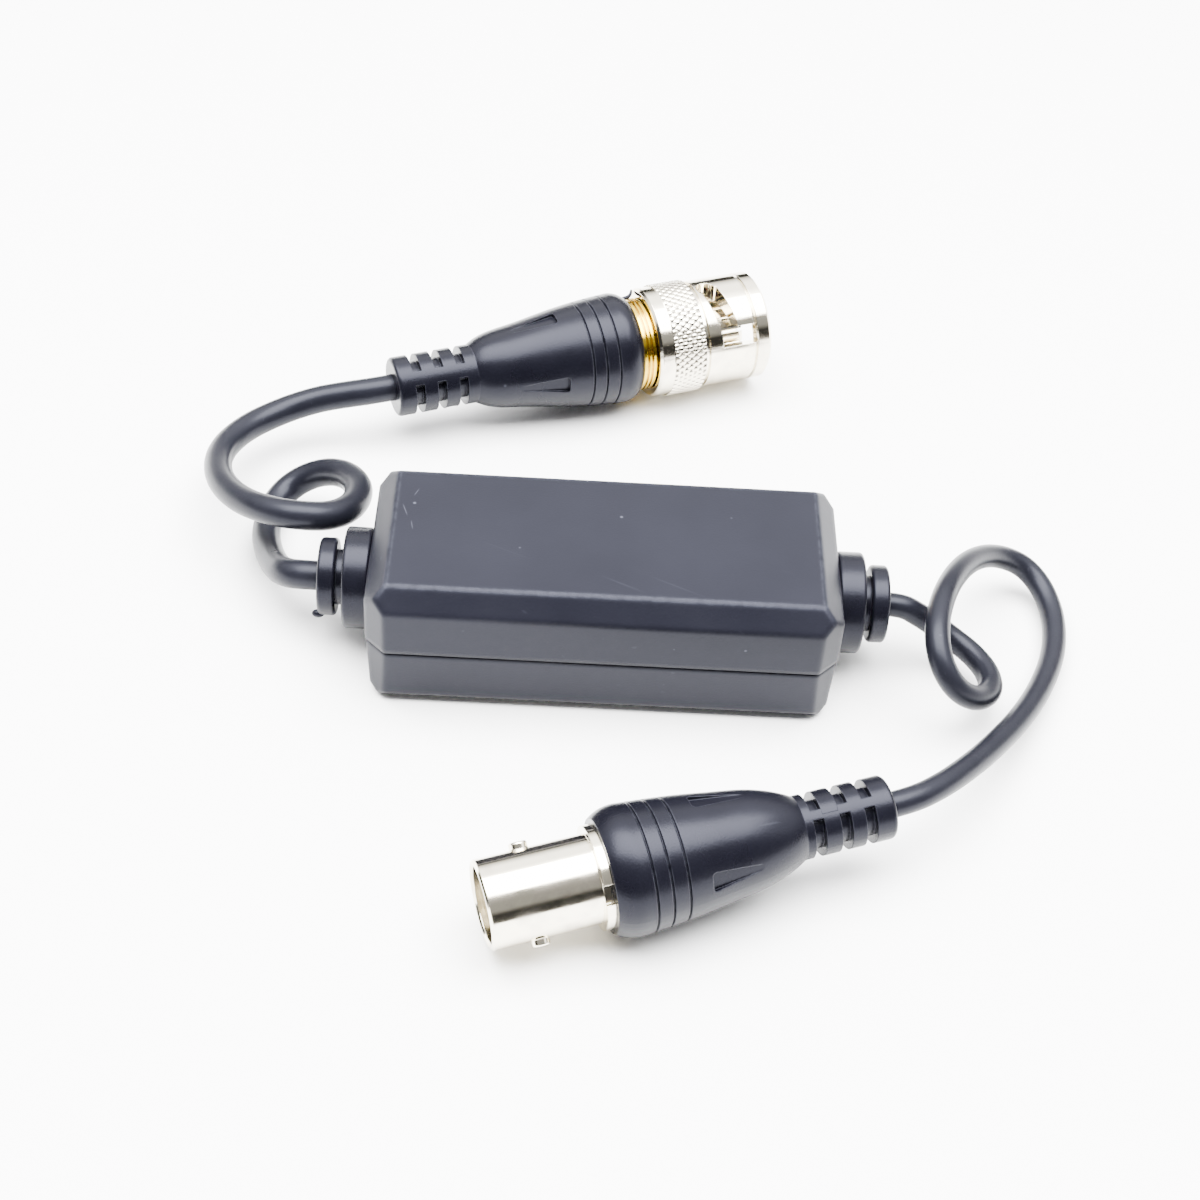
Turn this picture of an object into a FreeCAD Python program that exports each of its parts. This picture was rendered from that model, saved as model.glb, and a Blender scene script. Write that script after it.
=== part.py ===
"""In-line video isolator for camera wiring: a small two-part plastic housing with an isolating
transformer inside, a short lead with a bayonet plug on its left and one with a bayonet jack on its right.

Frame: origin under the middle of the housing, +X along the housing towards the jack lead,
+Y away from the front face, +Z up. Everything rests on z = 0. Millimetres.
Each connector is drawn on its own axis: z = 0 at its mating rim, +z out of the mouth, -z to the cable.
"""
import FreeCAD, Part
import math
import os

V = FreeCAD.Vector
UP = V(0, 0, 1)

# Housing
HOUSING_LENGTH = 54.5
HOUSING_WIDTH = 24.8
HOUSING_HEIGHT = 16.7
HOUSING_WALL = 1.6
EDGE_CHAMFER = 2.4
BASE_CHAMFER = 1.3
BASE_DRAFT = 0.35
EDGE_ROUND = 0.6
PARTING_HEIGHT = 8.3
PARTING_STEP = 0.12
SEAM_GROOVE_HEIGHT = 0.3
SEAM_GROOVE_DEPTH = 0.4
LIP_HEIGHT = 1.0
LIP_THICKNESS = 0.7
LIP_CLEARANCE = 0.1
SADDLE_THICKNESS = 1.2
SADDLE_MARGIN = 1.0
POST_RADIUS = 1.6
POST_X = 15.2
POST_Y = 6.6
PIN_RADIUS = 0.6

# Grommets, one through each end wall
GROMMET_FLANGE_RADIUS = 6.0
GROMMET_FLANGE_THICKNESS = 3.2
GROMMET_NECK_RADIUS = 3.3
GROMMET_NECK_LENGTH = 0.9
GROMMET_DISC_RADIUS = 4.6
GROMMET_DISC_THICKNESS = 2.1
GROMMET_WALL_RADIUS = 4.0
GROMMET_INNER_RADIUS = 5.0
GROMMET_INNER_THICKNESS = 1.2
GROMMET_FIT = 0.03
GROMMET_ROUND = 0.45

# Circuit board and what stands on it
BOARD_LENGTH = 38.0
BOARD_WIDTH = 18.0
BOARD_THICKNESS = 1.2
BOARD_HEIGHT = 4.6
LEAD_RADIUS = 0.3
HOLE_CLEARANCE = 0.12
SOLDER_RADIUS = 0.85
SOLDER_HEIGHT = 0.8
CORE_OUTER_RADIUS = 6.0
CORE_INNER_RADIUS = 3.7
CORE_HEIGHT = 4.2
WIRE_SIZE = 0.5
WINDING_TURNS = 9
WINDING_ANGLE = 148.0
WINDING_GAP = 0.04
CAPACITOR_SIZE = (6.4, 2.6, 6.0)
CAPACITOR_PLACE = (10.6, 4.6)
CAPACITOR_PITCH = 5.0
CAPACITOR_ROUND = 0.4
SUPPRESSOR_RADIUS = 2.7
SUPPRESSOR_THICKNESS = 1.9
SUPPRESSOR_PLACE = (-10.4, 4.8)
SUPPRESSOR_PITCH = 3.4
SUPPRESSOR_ROUND = 0.5
SUPPRESSOR_STANDOFF = 0.6
RESISTOR_RADIUS = 0.9
RESISTOR_LENGTH = 3.6
RESISTOR_PLACE = (10.4, -4.8)
RESISTOR_PITCH = 5.6
RESISTOR_ROUND = 0.3

# Coaxial leads
PLUG_CABLE_RADIUS = 1.75
JACK_CABLE_RADIUS = 1.45
CABLE_CORE_RADIUS = 0.85
CONDUCTOR_RADIUS = 0.25
BRAID_RADIUS = 0.45
JACKET_END_X = 22.6
CORE_END_X = 21.0
LEAD_HOLE_X = 17.2
LEAD_HOLE_Y = 2.6
LEAD_BEND_RISE = 1.2
BRAID_LAP = 0.5
BORE_FIT = 0.02

# Where each connector lies: rim centre, heading about Z, and how far its nose dips
PLUG_RIM_X, PLUG_RIM_Y = 19.48, 55.8
PLUG_HEADING = 21.1
PLUG_DIP = 0.0
JACK_RIM_X, JACK_RIM_Y = -11.8, -46.2
JACK_HEADING = -161.7
JACK_DIP = 3.0
FLOOR_MARGIN = 0.08

# Bayonet coupling nut of the plug
NUT_LENGTH = 16.1
NUT_RADIUS = 7.25
NUT_RING_LENGTH = 2.15
NUT_BORE_RADIUS = 4.95
KNURL_START = 9.55
KNURL_END = 14.15
KNURL_RADIUS = 7.5
KNURL_CREST_RADIUS = 7.6
NUT_REAR_RADIUS = 7.4
NUT_GROOVE_DEPTH = 0.35
NUT_GROOVE_HALF = 0.25
RELIEF_LENGTH = 0.65
NUT_RIM_CHAMFER = 0.35
CAVITY_RADIUS = 6.35
CAVITY_START = 12.0
NUT_SHOULDER = 1.15
NECK_FIT = 0.06
CHANNEL_WIDTH = 2.6
CHANNEL_RADIUS = 5.75
CAM_ANGLE_START = 151.6
CAM_ANGLE_END = 89.0
CAM_DEPTH_START = 5.75
CAM_DEPTH_END = 7.15
CAM_SEAT_STEP = 0.25

# Plug body and what it carries
BODY_FLANGE_RADIUS = 6.2
BODY_FLANGE_START = 16.3
BODY_FLANGE_END = 18.0
BODY_GROOVE_DEPTH = 0.35
BODY_GROOVE_WIDTH = 0.3
BODY_RIBS = 3
BODY_NECK_RADIUS = 5.1
BODY_FRONT = 12.4
BODY_ANCHOR_RADIUS = 5.0
BODY_ANCHOR_END = 19.8
SNAP_GROOVE_START = 12.75
SNAP_GROOVE_WIDTH = 0.6
SNAP_GROOVE_DEPTH = 0.5
SNAP_RING_RADIUS = 6.0
SNAP_RING_GAP_ANGLE = 28.0
SNAP_RING_ANGLE = 200.0
WASHER_THICKNESS = 0.4
WASHER_RADIUS = 6.2
SPRING_SHEET = 0.22
SPRING_WAVES = 3
CONTACT_RADIUS = 4.05
CONTACT_WALL = 0.5
CONTACT_FRONT = 2.95
CONTACT_SEAT = 15.4
CONTACT_SLOTS = 14
CONTACT_SLOT_WIDTH = 0.4
CONTACT_SLOT_END = 10.6
CONTACT_SLOT_ANGLE = 97.0
GASKET_RADIUS = 4.7
GASKET_THICKNESS = 0.5
INSULATOR_FRONT = 10.1
INSULATOR_STEP = 3.0
SOLDER_CUP_WALL = 0.6
PIN_CONTACT_RADIUS = 0.68
PIN_TIP = 4.8
PIN_TIP_RADIUS = 0.25
PIN_TAPER = 0.9
PIN_CUP_RADIUS = 1.1
PIN_CUP_STEP = 3.0
CONDUCTOR_GAP = 0.2
STEM_RADIUS = 2.1
STEM_LENGTH = 7.0
FERRULE_WALL = 0.4
FERRULE_OVERHANG = 2.6
FERRULE_NECK = 0.8
FERRULE_TAPER = 0.5

# Jack barrel and what it carries
BARREL_RADIUS = 4.8
BARREL_BORE_RADIUS = 4.1
BARREL_LENGTH = 13.0
BARREL_RIM_CHAMFER = 0.25
LUG_RADIUS = 1.0
LUG_REACH = 5.5
LUG_DEPTH = 5.2
LUG_ROUND = 0.25
LUG_ANGLE = 143.0
BARREL_FLANGE_RADIUS = 5.6
BARREL_FLANGE_THICKNESS = 1.0
BARREL_NOTCH_WIDTH = 2.2
BARREL_NOTCH_ANGLE = 30.5
BARREL_ANCHOR_RADIUS = 4.6
BARREL_ANCHOR_LENGTH = 3.2
POST_FRONT = 2.2
POST_FACE_RADIUS = 2.36
SEAT_DEPTH = 9.4
SOCKET_RADIUS = 0.95
SOCKET_BORE_RADIUS = 0.72
SOCKET_SLOT_WIDTH = 0.25
SOCKET_SLOT_LENGTH = 3.4
SOCKET_SLOT_ANGLE = 45.0
SOCKET_INSET = 0.2
SOCKET_BORE_LENGTH = 7.0
SOCKET_CUP_STEP = 1.5

# Moulded boots. Stations are distances behind the rim, each with the radius there.
PLUG_BOOT = {
    "front": 18.0, "front_radius": 6.25,
    "back": 51.1, "collar_front": 40.35, "collar_radius": 3.9, "collar_round": 0.5,
    "cone": [(38.15, 4.9), (34.75, 5.5), (28.95, 6.5), (24.0, 7.15)],
    "widest": 20.7, "widest_radius": 7.4,
    "grooves": [21.8, 23.65, 25.4],
    "slots": [48.3, 45.35, 42.4], "slot_width": 1.15, "slot_depth": 1.0, "rib_width": 1.85, "rib_angle": 132.5,
    "recess_front": 28.6, "recess_length": 6.6, "recess_half": 1.2, "recess_depth": 0.6, "angle": 87.0,
}
JACK_BOOT = {
    "front": 13.0, "front_radius": 6.2,
    "back": 45.1, "collar_front": 34.8, "collar_radius": 3.5, "collar_round": 0.5,
    "cone": [(32.5, 4.6), (29.7, 5.4), (26.5, 5.9), (23.1, 6.4), (20.5, 6.7)],
    "widest": 16.3, "widest_radius": 7.05,
    "grooves": [17.05, 18.8, 20.65],
    "slots": [42.1, 39.3, 36.3], "slot_width": 1.2, "slot_depth": 0.9, "rib_width": 1.05, "rib_angle": 68.0,
    "recess_front": 23.2, "recess_length": 5.9, "recess_half": 1.2, "recess_depth": 0.6, "angle": 20.0,
}
RECESS_TIP_SHARE = 0.25
RECESS_CORNER_SHARE = 0.35
GROOVE_SIZE = 0.3
SHOULDER_SHARE = (0.28, 0.34)

# Cable routes between the grommets and the boots: distance outwards from the grommet's face, Y and Z.
# The two straight ends are worked out.
EXIT_RUN = 2.0
BOOT_RUN = 3.0
RUN_SHARE = 0.45
LEFT_ROUTE = [
    (4.05, 1, 7.5), (5.55, 3.4, 6), (7.15, 7.6, 4.2), (8.35, 12.2, 3.1), (8.45, 16.4, 2.7),
    (7.75, 19.4, 2.9), (6.15, 21.4, 3.7), (3.65, 22, 5.1), (0.85, 20.9, 6.8), (-1.75, 18.4, 8.2),
    (-3.35, 14.5, 9.4), (-2.95, 10, 10.6), (-0.85, 6.6, 11.9), (2.55, 5.3, 12.8), (6.95, 6.8, 12.1),
    (11.45, 11.2, 10), (14.75, 17.4, 8), (15.55, 24.1, 6.4), (13.35, 29.8, 5.6), (9.15, 33.6, 5.7),
    (4.75, 35.4, 6.5), (0.95, 35.9, 7.2),
]
RIGHT_ROUTE = [
    (4.05, -0.1, 7.1), (6.35, -0.4, 5.7), (8.55, -1.2, 4.4), (10.85, -3, 3.8), (12.45, -6, 3.7),
    (12.35, -9.6, 4.3), (10.15, -12.5, 5.6), (7.35, -13.4, 7.8), (5.35, -12.2, 10.2), (4.65, -9.1, 11.9),
    (5.35, -4.7, 12.4), (7.15, 0.6, 11.6), (9.85, 6.1, 9.8), (13.05, 10.5, 7.5), (16.25, 12.8, 5.4),
    (19.25, 13, 3.8), (21.45, 10.6, 2.5), (22.35, 6.1, 1.8), (21.65, 0.3, 1.8), (19.15, -6.4, 2.5),
    (15.35, -13.5, 3.9), (10.55, -20.4, 5.7), (6.95, -25, 7.2), (3.65, -28.6, 8.3),
]

SEGMENTS = 7


def ring(outer, inner, back, front):
    """A tube on the connector axis between two distances behind the rim."""
    tube = Part.makeCylinder(outer, back - front, V(0, 0, -back))
    if inner > 0:
        tube = tube.cut(Part.makeCylinder(inner, back - front + 2, V(0, 0, -back - 1)))
    return tube


def turned(points):
    """A solid of revolution from (radius, distance behind the rim) corners."""
    corners = [V(radius, 0, -depth) for radius, depth in points]
    face = Part.Face(Part.makePolygon(corners + corners[:1]))
    return face.revolve(V(0, 0, 0), UP, 360)


def about_axis(shape, angle):
    """A copy turned about the connector axis."""
    copy = shape.copy()
    copy.rotate(V(0, 0, 0), UP, angle)
    return copy


def radial_box(width, inner, outer, back, front, angle):
    """A box that runs outwards from the axis at one angle."""
    box = Part.makeBox(outer - inner, width, back - front, V(inner, -width / 2, -back))
    return about_axis(box, angle)


def fused(shapes):
    """One shape from several, with the seams between them removed."""
    whole = shapes[0].multiFuse(shapes[1:]) if len(shapes) > 1 else shapes[0]
    return whole.removeSplitter()


def wire_path(points, radius):
    """Round wire through straight runs, with a ball at each bend."""
    pieces = []
    for start, end in zip(points, points[1:]):
        run = end - start
        pieces.append(Part.makeCylinder(radius, run.Length, start, run))
    pieces += [Part.makeSphere(radius, bend) for bend in points[1:-1]]
    return fused(pieces)


# Housing shells

def profile_prism(corners, plane, reach):
    """A closed outline in the XY, XZ or YZ plane, pushed out to both sides."""
    if plane == "XY":
        points, push = [V(a, b, -reach) for a, b in corners], V(0, 0, 2 * reach)
    elif plane == "XZ":
        points, push = [V(a, -reach, b) for a, b in corners], V(0, 2 * reach, 0)
    else:
        points, push = [V(-reach, a, b) for a, b in corners], V(2 * reach, 0, 0)
    return Part.Face(Part.makePolygon(points + points[:1])).extrude(push)


def side_outline(half, bottom, top, base_half, base_chamfer, chamfer, middle):
    """Right half of a drafted, chamfered side view, mirrored into a closed outline."""
    right = [(base_half - base_chamfer, bottom), (base_half, bottom + base_chamfer),
             (half, middle), (half, top - chamfer), (half - chamfer, top)]
    left = [(-across, height) for across, height in reversed(right)]
    return right + left


def chamfered_block(inset, step, base, ceiling, draft=BASE_DRAFT):
    """The housing's outer form, or its cavity, moved in by inset all round."""
    half_x = HOUSING_LENGTH / 2 - inset - step
    half_y = HOUSING_WIDTH / 2 - inset - step
    chamfer = EDGE_CHAMFER - inset * (2 - math.sqrt(2))
    base_chamfer = BASE_CHAMFER - min(inset, BASE_CHAMFER) * (2 - math.sqrt(2))
    reach = HOUSING_LENGTH
    octagon = []
    for sx, sy in ((1, 1), (-1, 1), (-1, -1), (1, -1)):
        corner = [(sx * half_x, sy * (half_y - chamfer)), (sx * (half_x - chamfer), sy * half_y)]
        octagon += corner if sx == sy else corner[::-1]
    block = profile_prism(octagon, "XY", reach)
    for half, plane in ((half_x, "XZ"), (half_y, "YZ")):
        outline = side_outline(half, base, ceiling, half - draft, base_chamfer, chamfer, PARTING_HEIGHT)
        block = block.common(profile_prism(outline, plane, reach))
    return block


def slab(low, high):
    """A wide block between two heights, used to keep one shell's share."""
    size = 2 * HOUSING_LENGTH
    return Part.makeBox(size, size, high - low, V(-size / 2, -size / 2, low))


def rounded(shape, radius, wanted):
    """Rounds the edges that wanted() picks, by hand-sized radius."""
    edges = [edge for edge in shape.Edges if wanted(edge)]
    return shape.makeFillet(radius, edges) if edges else shape


def grommet_hole():
    """The round hole through both end walls, half in each shell."""
    reach = HOUSING_LENGTH + 2
    return Part.makeCylinder(GROMMET_WALL_RADIUS + GROMMET_FIT, reach, V(-reach / 2, 0, PARTING_HEIGHT), V(1, 0, 0))


def board_posts(low, high, radius):
    """Four posts at the board's corners."""
    return [Part.makeCylinder(radius, high - low, V(sx * POST_X, sy * POST_Y, low))
            for sx in (-1, 1) for sy in (-1, 1)]


def grommet_saddles(low, high):
    """A rib behind each grommet's inner flange, open round the lead."""
    ribs = []
    inner_face = HOUSING_LENGTH / 2 - HOUSING_WALL - GROMMET_INNER_THICKNESS - LIP_CLEARANCE
    half_y = GROMMET_INNER_RADIUS + SADDLE_MARGIN
    for side in (-1, 1):
        start = inner_face - SADDLE_THICKNESS if side > 0 else -inner_face
        rib = Part.makeBox(SADDLE_THICKNESS, 2 * half_y, high - low, V(start, -half_y, low))
        ribs.append(rib)
    opening = Part.makeCylinder(GROMMET_NECK_RADIUS, HOUSING_LENGTH, V(-HOUSING_LENGTH / 2, 0, PARTING_HEIGHT), V(1, 0, 0))
    return [rib.cut(opening) for rib in ribs]


def upper_shell():
    body = chamfered_block(0, 0, -HOUSING_HEIGHT, HOUSING_HEIGHT).common(slab(PARTING_HEIGHT, HOUSING_HEIGHT))
    body = rounded(body, EDGE_ROUND, lambda edge: edge.CenterOfMass.z > PARTING_HEIGHT + EDGE_ROUND)
    cavity = chamfered_block(HOUSING_WALL, 0, -HOUSING_HEIGHT, HOUSING_HEIGHT - HOUSING_WALL)
    lip_space = chamfered_block(HOUSING_WALL - LIP_THICKNESS - LIP_CLEARANCE, 0, -HOUSING_HEIGHT, 2 * HOUSING_HEIGHT)
    lip_space = lip_space.common(slab(PARTING_HEIGHT - 1, PARTING_HEIGHT + LIP_HEIGHT + LIP_CLEARANCE))
    body = body.cut(cavity).cut(lip_space)
    ceiling = HOUSING_HEIGHT - HOUSING_WALL
    board_top = BOARD_HEIGHT + BOARD_THICKNESS
    posts = board_posts(board_top + LIP_CLEARANCE / 2, ceiling + HOUSING_WALL / 2, POST_RADIUS)
    saddles = grommet_saddles(PARTING_HEIGHT + LIP_CLEARANCE, ceiling + HOUSING_WALL / 2)
    return fused([body] + posts + saddles).cut(grommet_hole())


def lower_shell():
    body = chamfered_block(0, PARTING_STEP, 0, 2 * HOUSING_HEIGHT).common(slab(0, PARTING_HEIGHT))
    body = rounded(body, EDGE_ROUND, lambda edge: edge.CenterOfMass.z < PARTING_HEIGHT - EDGE_ROUND)
    seam = slab(PARTING_HEIGHT - SEAM_GROOVE_HEIGHT, PARTING_HEIGHT + 1)
    body = body.cut(seam.cut(chamfered_block(SEAM_GROOVE_DEPTH, PARTING_STEP, 0, 2 * HOUSING_HEIGHT)))
    cavity = chamfered_block(HOUSING_WALL, 0, HOUSING_WALL, 2 * HOUSING_HEIGHT, 0)
    body = body.cut(cavity)
    lip = chamfered_block(HOUSING_WALL - LIP_THICKNESS, 0, 0, 2 * HOUSING_HEIGHT, 0)
    lip = lip.common(slab(PARTING_HEIGHT - HOUSING_WALL, PARTING_HEIGHT + LIP_HEIGHT)).cut(cavity)
    posts = board_posts(HOUSING_WALL / 2, BOARD_HEIGHT, POST_RADIUS)
    pins = board_posts(BOARD_HEIGHT, BOARD_HEIGHT + BOARD_THICKNESS - LIP_CLEARANCE, PIN_RADIUS)
    saddles = grommet_saddles(HOUSING_WALL / 2, PARTING_HEIGHT)
    return fused([body, lip] + posts + pins[:1] + pins[-1:] + saddles).cut(grommet_hole())


def grommet(side, cable_radius):
    """A soft strain relief: inner flange, seat in the wall, outer flange, neck and end disc."""
    wall = HOUSING_LENGTH / 2
    flange_end = wall + GROMMET_FLANGE_THICKNESS
    disc_start = flange_end + GROMMET_NECK_LENGTH
    disc_end = disc_start + GROMMET_DISC_THICKNESS
    inner_start = wall - HOUSING_WALL - GROMMET_INNER_THICKNESS

    def disc(radius, start, end, rounding=0):
        piece = Part.makeCylinder(radius, end - start, V(start, 0, PARTING_HEIGHT), V(1, 0, 0))
        if rounding:
            piece = piece.makeFillet(rounding, [edge for edge in piece.Edges if edge.Closed])
        return piece

    inner = disc(GROMMET_INNER_RADIUS, inner_start, wall - HOUSING_WALL)
    seat = disc(GROMMET_WALL_RADIUS, wall - HOUSING_WALL, wall)
    flange = disc(GROMMET_FLANGE_RADIUS, wall + PARTING_STEP / 4, flange_end, GROMMET_ROUND)
    neck = disc(GROMMET_NECK_RADIUS, wall, disc_end - GROMMET_DISC_THICKNESS / 2)
    end_disc = disc(GROMMET_DISC_RADIUS, disc_start, disc_end, GROMMET_ROUND)
    body = fused([inner, seat, flange, neck, end_disc])
    body = body.cut(disc(cable_radius + BORE_FIT, 0, disc_end + 1))
    if side < 0:
        body.rotate(V(0, 0, 0), UP, 180)
    return body


def grommet_face():
    """Distance from the middle of the housing to a grommet's outer face."""
    return HOUSING_LENGTH / 2 + GROMMET_FLANGE_THICKNESS + GROMMET_NECK_LENGTH + GROMMET_DISC_THICKNESS


# Circuit board, transformer and small parts

BOARD_TOP = BOARD_HEIGHT + BOARD_THICKNESS
WINDING_MIDDLES = (90.0, 270.0)
WINDING_RADIUS = CORE_OUTER_RADIUS + WINDING_GAP + WIRE_SIZE / 2


def on_circle(radius, angle, height=0.0):
    turn = math.radians(angle)
    return V(radius * math.cos(turn), radius * math.sin(turn), height)


def pair_along_x(place, pitch):
    return [(place[0] - pitch / 2, place[1]), (place[0] + pitch / 2, place[1])]


def winding_ends():
    """Where each winding's first and last turn goes down into the board."""
    ends = []
    for middle in WINDING_MIDDLES:
        for side in (-1, 1):
            point = on_circle(WINDING_RADIUS, middle + side * WINDING_ANGLE / 2)
            ends.append((point.x, point.y))
    return ends


def lead_holes():
    """Every plated hole in the board."""
    holes = winding_ends()
    holes += pair_along_x(CAPACITOR_PLACE, CAPACITOR_PITCH)
    holes += pair_along_x(SUPPRESSOR_PLACE, SUPPRESSOR_PITCH)
    holes += pair_along_x(RESISTOR_PLACE, RESISTOR_PITCH)
    holes += [(sx * LEAD_HOLE_X, sy * LEAD_HOLE_Y) for sx in (-1, 1) for sy in (-1, 1)]
    return holes


def through_lead(x, y, top):
    """A wire end that stands in its hole and reaches into the solder below."""
    bottom = BOARD_HEIGHT - SOLDER_HEIGHT
    return Part.makeCylinder(LEAD_RADIUS, top - bottom, V(x, y, bottom))


def circuit_board():
    board = Part.makeBox(BOARD_LENGTH, BOARD_WIDTH, BOARD_THICKNESS, V(-BOARD_LENGTH / 2, -BOARD_WIDTH / 2, BOARD_HEIGHT))
    for x, y in lead_holes():
        board = board.cut(Part.makeCylinder(LEAD_RADIUS + HOLE_CLEARANCE, BOARD_THICKNESS + 2, V(x, y, BOARD_HEIGHT - 1)))
    for side in (-1, 1):
        place = V(side * POST_X, side * POST_Y, BOARD_HEIGHT - 1)
        board = board.cut(Part.makeCylinder(PIN_RADIUS + LIP_CLEARANCE, BOARD_THICKNESS + 2, place))
    return board


def core_base():
    return BOARD_TOP + WIRE_SIZE + 2 * WINDING_GAP


def transformer_core():
    core = Part.makeCylinder(CORE_OUTER_RADIUS, CORE_HEIGHT, V(0, 0, core_base()))
    core = core.cut(Part.makeCylinder(CORE_INNER_RADIUS, CORE_HEIGHT + 2, V(0, 0, core_base() - 1)))
    return core


def winding(middle):
    """Square enamelled wire wound round half of the core, each turn led on to the next."""
    inner = CORE_INNER_RADIUS - WINDING_GAP - WIRE_SIZE
    outer = CORE_OUTER_RADIUS + WINDING_GAP + WIRE_SIZE
    bottom = core_base() - WINDING_GAP - WIRE_SIZE
    height = CORE_HEIGHT + 2 * (WINDING_GAP + WIRE_SIZE)
    frame = Part.makeBox(outer - inner, WIRE_SIZE, height, V(inner, -WIRE_SIZE / 2, bottom))
    space = Part.makeBox(outer - inner - 2 * WIRE_SIZE, 2 * WIRE_SIZE, height - 2 * WIRE_SIZE,
                         V(inner + WIRE_SIZE, -WIRE_SIZE, bottom + WIRE_SIZE))
    turn = frame.cut(space)
    step = WINDING_ANGLE / (WINDING_TURNS - 1)
    first = middle - WINDING_ANGLE / 2
    pieces = [about_axis(turn, first + step * index) for index in range(WINDING_TURNS)]
    lead_on = 2 * WINDING_RADIUS * math.sin(math.radians(step / 2)) + WIRE_SIZE / 2
    jumper = Part.makeBox(WIRE_SIZE, lead_on, WIRE_SIZE, V(outer - WIRE_SIZE, -lead_on / 2, bottom))
    pieces += [about_axis(jumper, first + step * (index + 0.5)) for index in range(WINDING_TURNS - 1)]
    for angle in (first, first + WINDING_ANGLE):
        foot = on_circle(WINDING_RADIUS, angle)
        pieces.append(through_lead(foot.x, foot.y, bottom + WIRE_SIZE / 2))
    return fused(pieces)


def film_capacitor():
    length, width, height = CAPACITOR_SIZE
    x, y = CAPACITOR_PLACE
    body = Part.makeBox(length, width, height, V(x - length / 2, y - width / 2, BOARD_TOP))
    body = body.makeFillet(CAPACITOR_ROUND, [edge for edge in body.Edges if edge.CenterOfMass.z > BOARD_TOP + height / 4])
    leads = [through_lead(px, py, BOARD_TOP + CAPACITOR_ROUND) for px, py in pair_along_x(CAPACITOR_PLACE, CAPACITOR_PITCH)]
    return fused([body] + leads)


def surge_suppressor():
    """A coated disc that stands on edge, a lead at each side."""
    x, y = SUPPRESSOR_PLACE
    centre = BOARD_TOP + SUPPRESSOR_RADIUS + SUPPRESSOR_STANDOFF
    body = Part.makeCylinder(SUPPRESSOR_RADIUS, SUPPRESSOR_THICKNESS, V(x, y - SUPPRESSOR_THICKNESS / 2, centre), V(0, 1, 0))
    body = body.makeFillet(SUPPRESSOR_ROUND, [edge for edge in body.Edges if edge.Closed])
    leads = [through_lead(px, py, centre) for px, py in pair_along_x(SUPPRESSOR_PLACE, SUPPRESSOR_PITCH)]
    return fused([body] + leads)


def damping_resistor():
    """A small axial resistor lying on the board, its leads bent down."""
    x, y = RESISTOR_PLACE
    height = BOARD_TOP + RESISTOR_RADIUS
    body = Part.makeCylinder(RESISTOR_RADIUS, RESISTOR_LENGTH, V(x - RESISTOR_LENGTH / 2, y, height), V(1, 0, 0))
    body = body.makeFillet(RESISTOR_ROUND, [edge for edge in body.Edges if edge.Closed])
    (left, _), (right, _) = pair_along_x(RESISTOR_PLACE, RESISTOR_PITCH)
    bottom = BOARD_HEIGHT - SOLDER_HEIGHT
    lead = wire_path([V(left, y, bottom), V(left, y, height), V(right, y, height), V(right, y, bottom)], LEAD_RADIUS)
    return fused([body, lead])


def solder_joints():
    """A small cone of solder round every lead under the board."""
    joints = []
    for x, y in lead_holes():
        joint = Part.makeCone(LEAD_RADIUS * 1.4, SOLDER_RADIUS, SOLDER_HEIGHT, V(x, y, BOARD_HEIGHT - SOLDER_HEIGHT))
        joints.append(joint.cut(Part.makeCylinder(LEAD_RADIUS, SOLDER_HEIGHT, V(x, y, BOARD_HEIGHT - SOLDER_HEIGHT))))
    return Part.makeCompound(joints)


def housing_lead_end(side, cable_radius):
    """The lead inside the housing: jacket through the grommet, core and twisted braid to the board."""
    axis = PARTING_HEIGHT
    face = grommet_face()
    jacket = Part.makeCylinder(cable_radius, face - JACKET_END_X, V(JACKET_END_X, 0, axis), V(1, 0, 0))
    core = Part.makeCylinder(CABLE_CORE_RADIUS, JACKET_END_X - CORE_END_X, V(CORE_END_X, 0, axis), V(1, 0, 0))
    bottom = BOARD_HEIGHT - SOLDER_HEIGHT
    bend = BOARD_TOP + LEAD_BEND_RISE
    hole = V(LEAD_HOLE_X, LEAD_HOLE_Y, bottom)
    conductor = wire_path([V(JACKET_END_X, 0, axis), V(CORE_END_X, 0, axis), V(hole.x, hole.y, bend), hole], LEAD_RADIUS)
    braid_start = V(JACKET_END_X + BRAID_LAP, 0, axis - cable_radius / 2)
    braid_end = V(LEAD_HOLE_X, -LEAD_HOLE_Y, bend)
    braid = wire_path([braid_start, braid_end], BRAID_RADIUS)
    braid_foot = Part.makeCylinder(LEAD_RADIUS, bend - bottom, V(braid_end.x, braid_end.y, bottom))
    braid_knee = Part.makeSphere(BRAID_RADIUS, braid_end)
    whole = fused([jacket, core, conductor, braid, braid_foot, braid_knee])
    if side < 0:
        whole.rotate(V(0, 0, 0), UP, 180)
    return whole


# Plug, on its own axis

def cam_depth(angle):
    share = (angle - CAM_ANGLE_START) / (CAM_ANGLE_END - CAM_ANGLE_START)
    return CAM_DEPTH_START + share * (CAM_DEPTH_END - CAM_DEPTH_START)


def cam_slot():
    """The ramp a lug rides along, from the entry window to the round seat that holds it."""
    inner, outer = NUT_BORE_RADIUS - 1, KNURL_RADIUS + 1
    half = CHANNEL_WIDTH / 2
    sections = []
    for index in range(SEGMENTS):
        angle = CAM_ANGLE_START + (CAM_ANGLE_END - CAM_ANGLE_START) * index / (SEGMENTS - 1)
        depth = cam_depth(angle)
        corners = [on_circle(radius, angle, -depth + up)
                   for radius, up in ((inner, -half), (outer, -half), (outer, half), (inner, half))]
        sections.append(Part.makePolygon(corners + corners[:1]))
    ramp = Part.makeLoft(sections, True, False)
    seat = Part.makeCylinder(half, outer - inner, on_circle(inner, CAM_ANGLE_END, -CAM_DEPTH_END - CAM_SEAT_STEP),
                             on_circle(1, CAM_ANGLE_END))
    return fused([ramp, seat])


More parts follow.
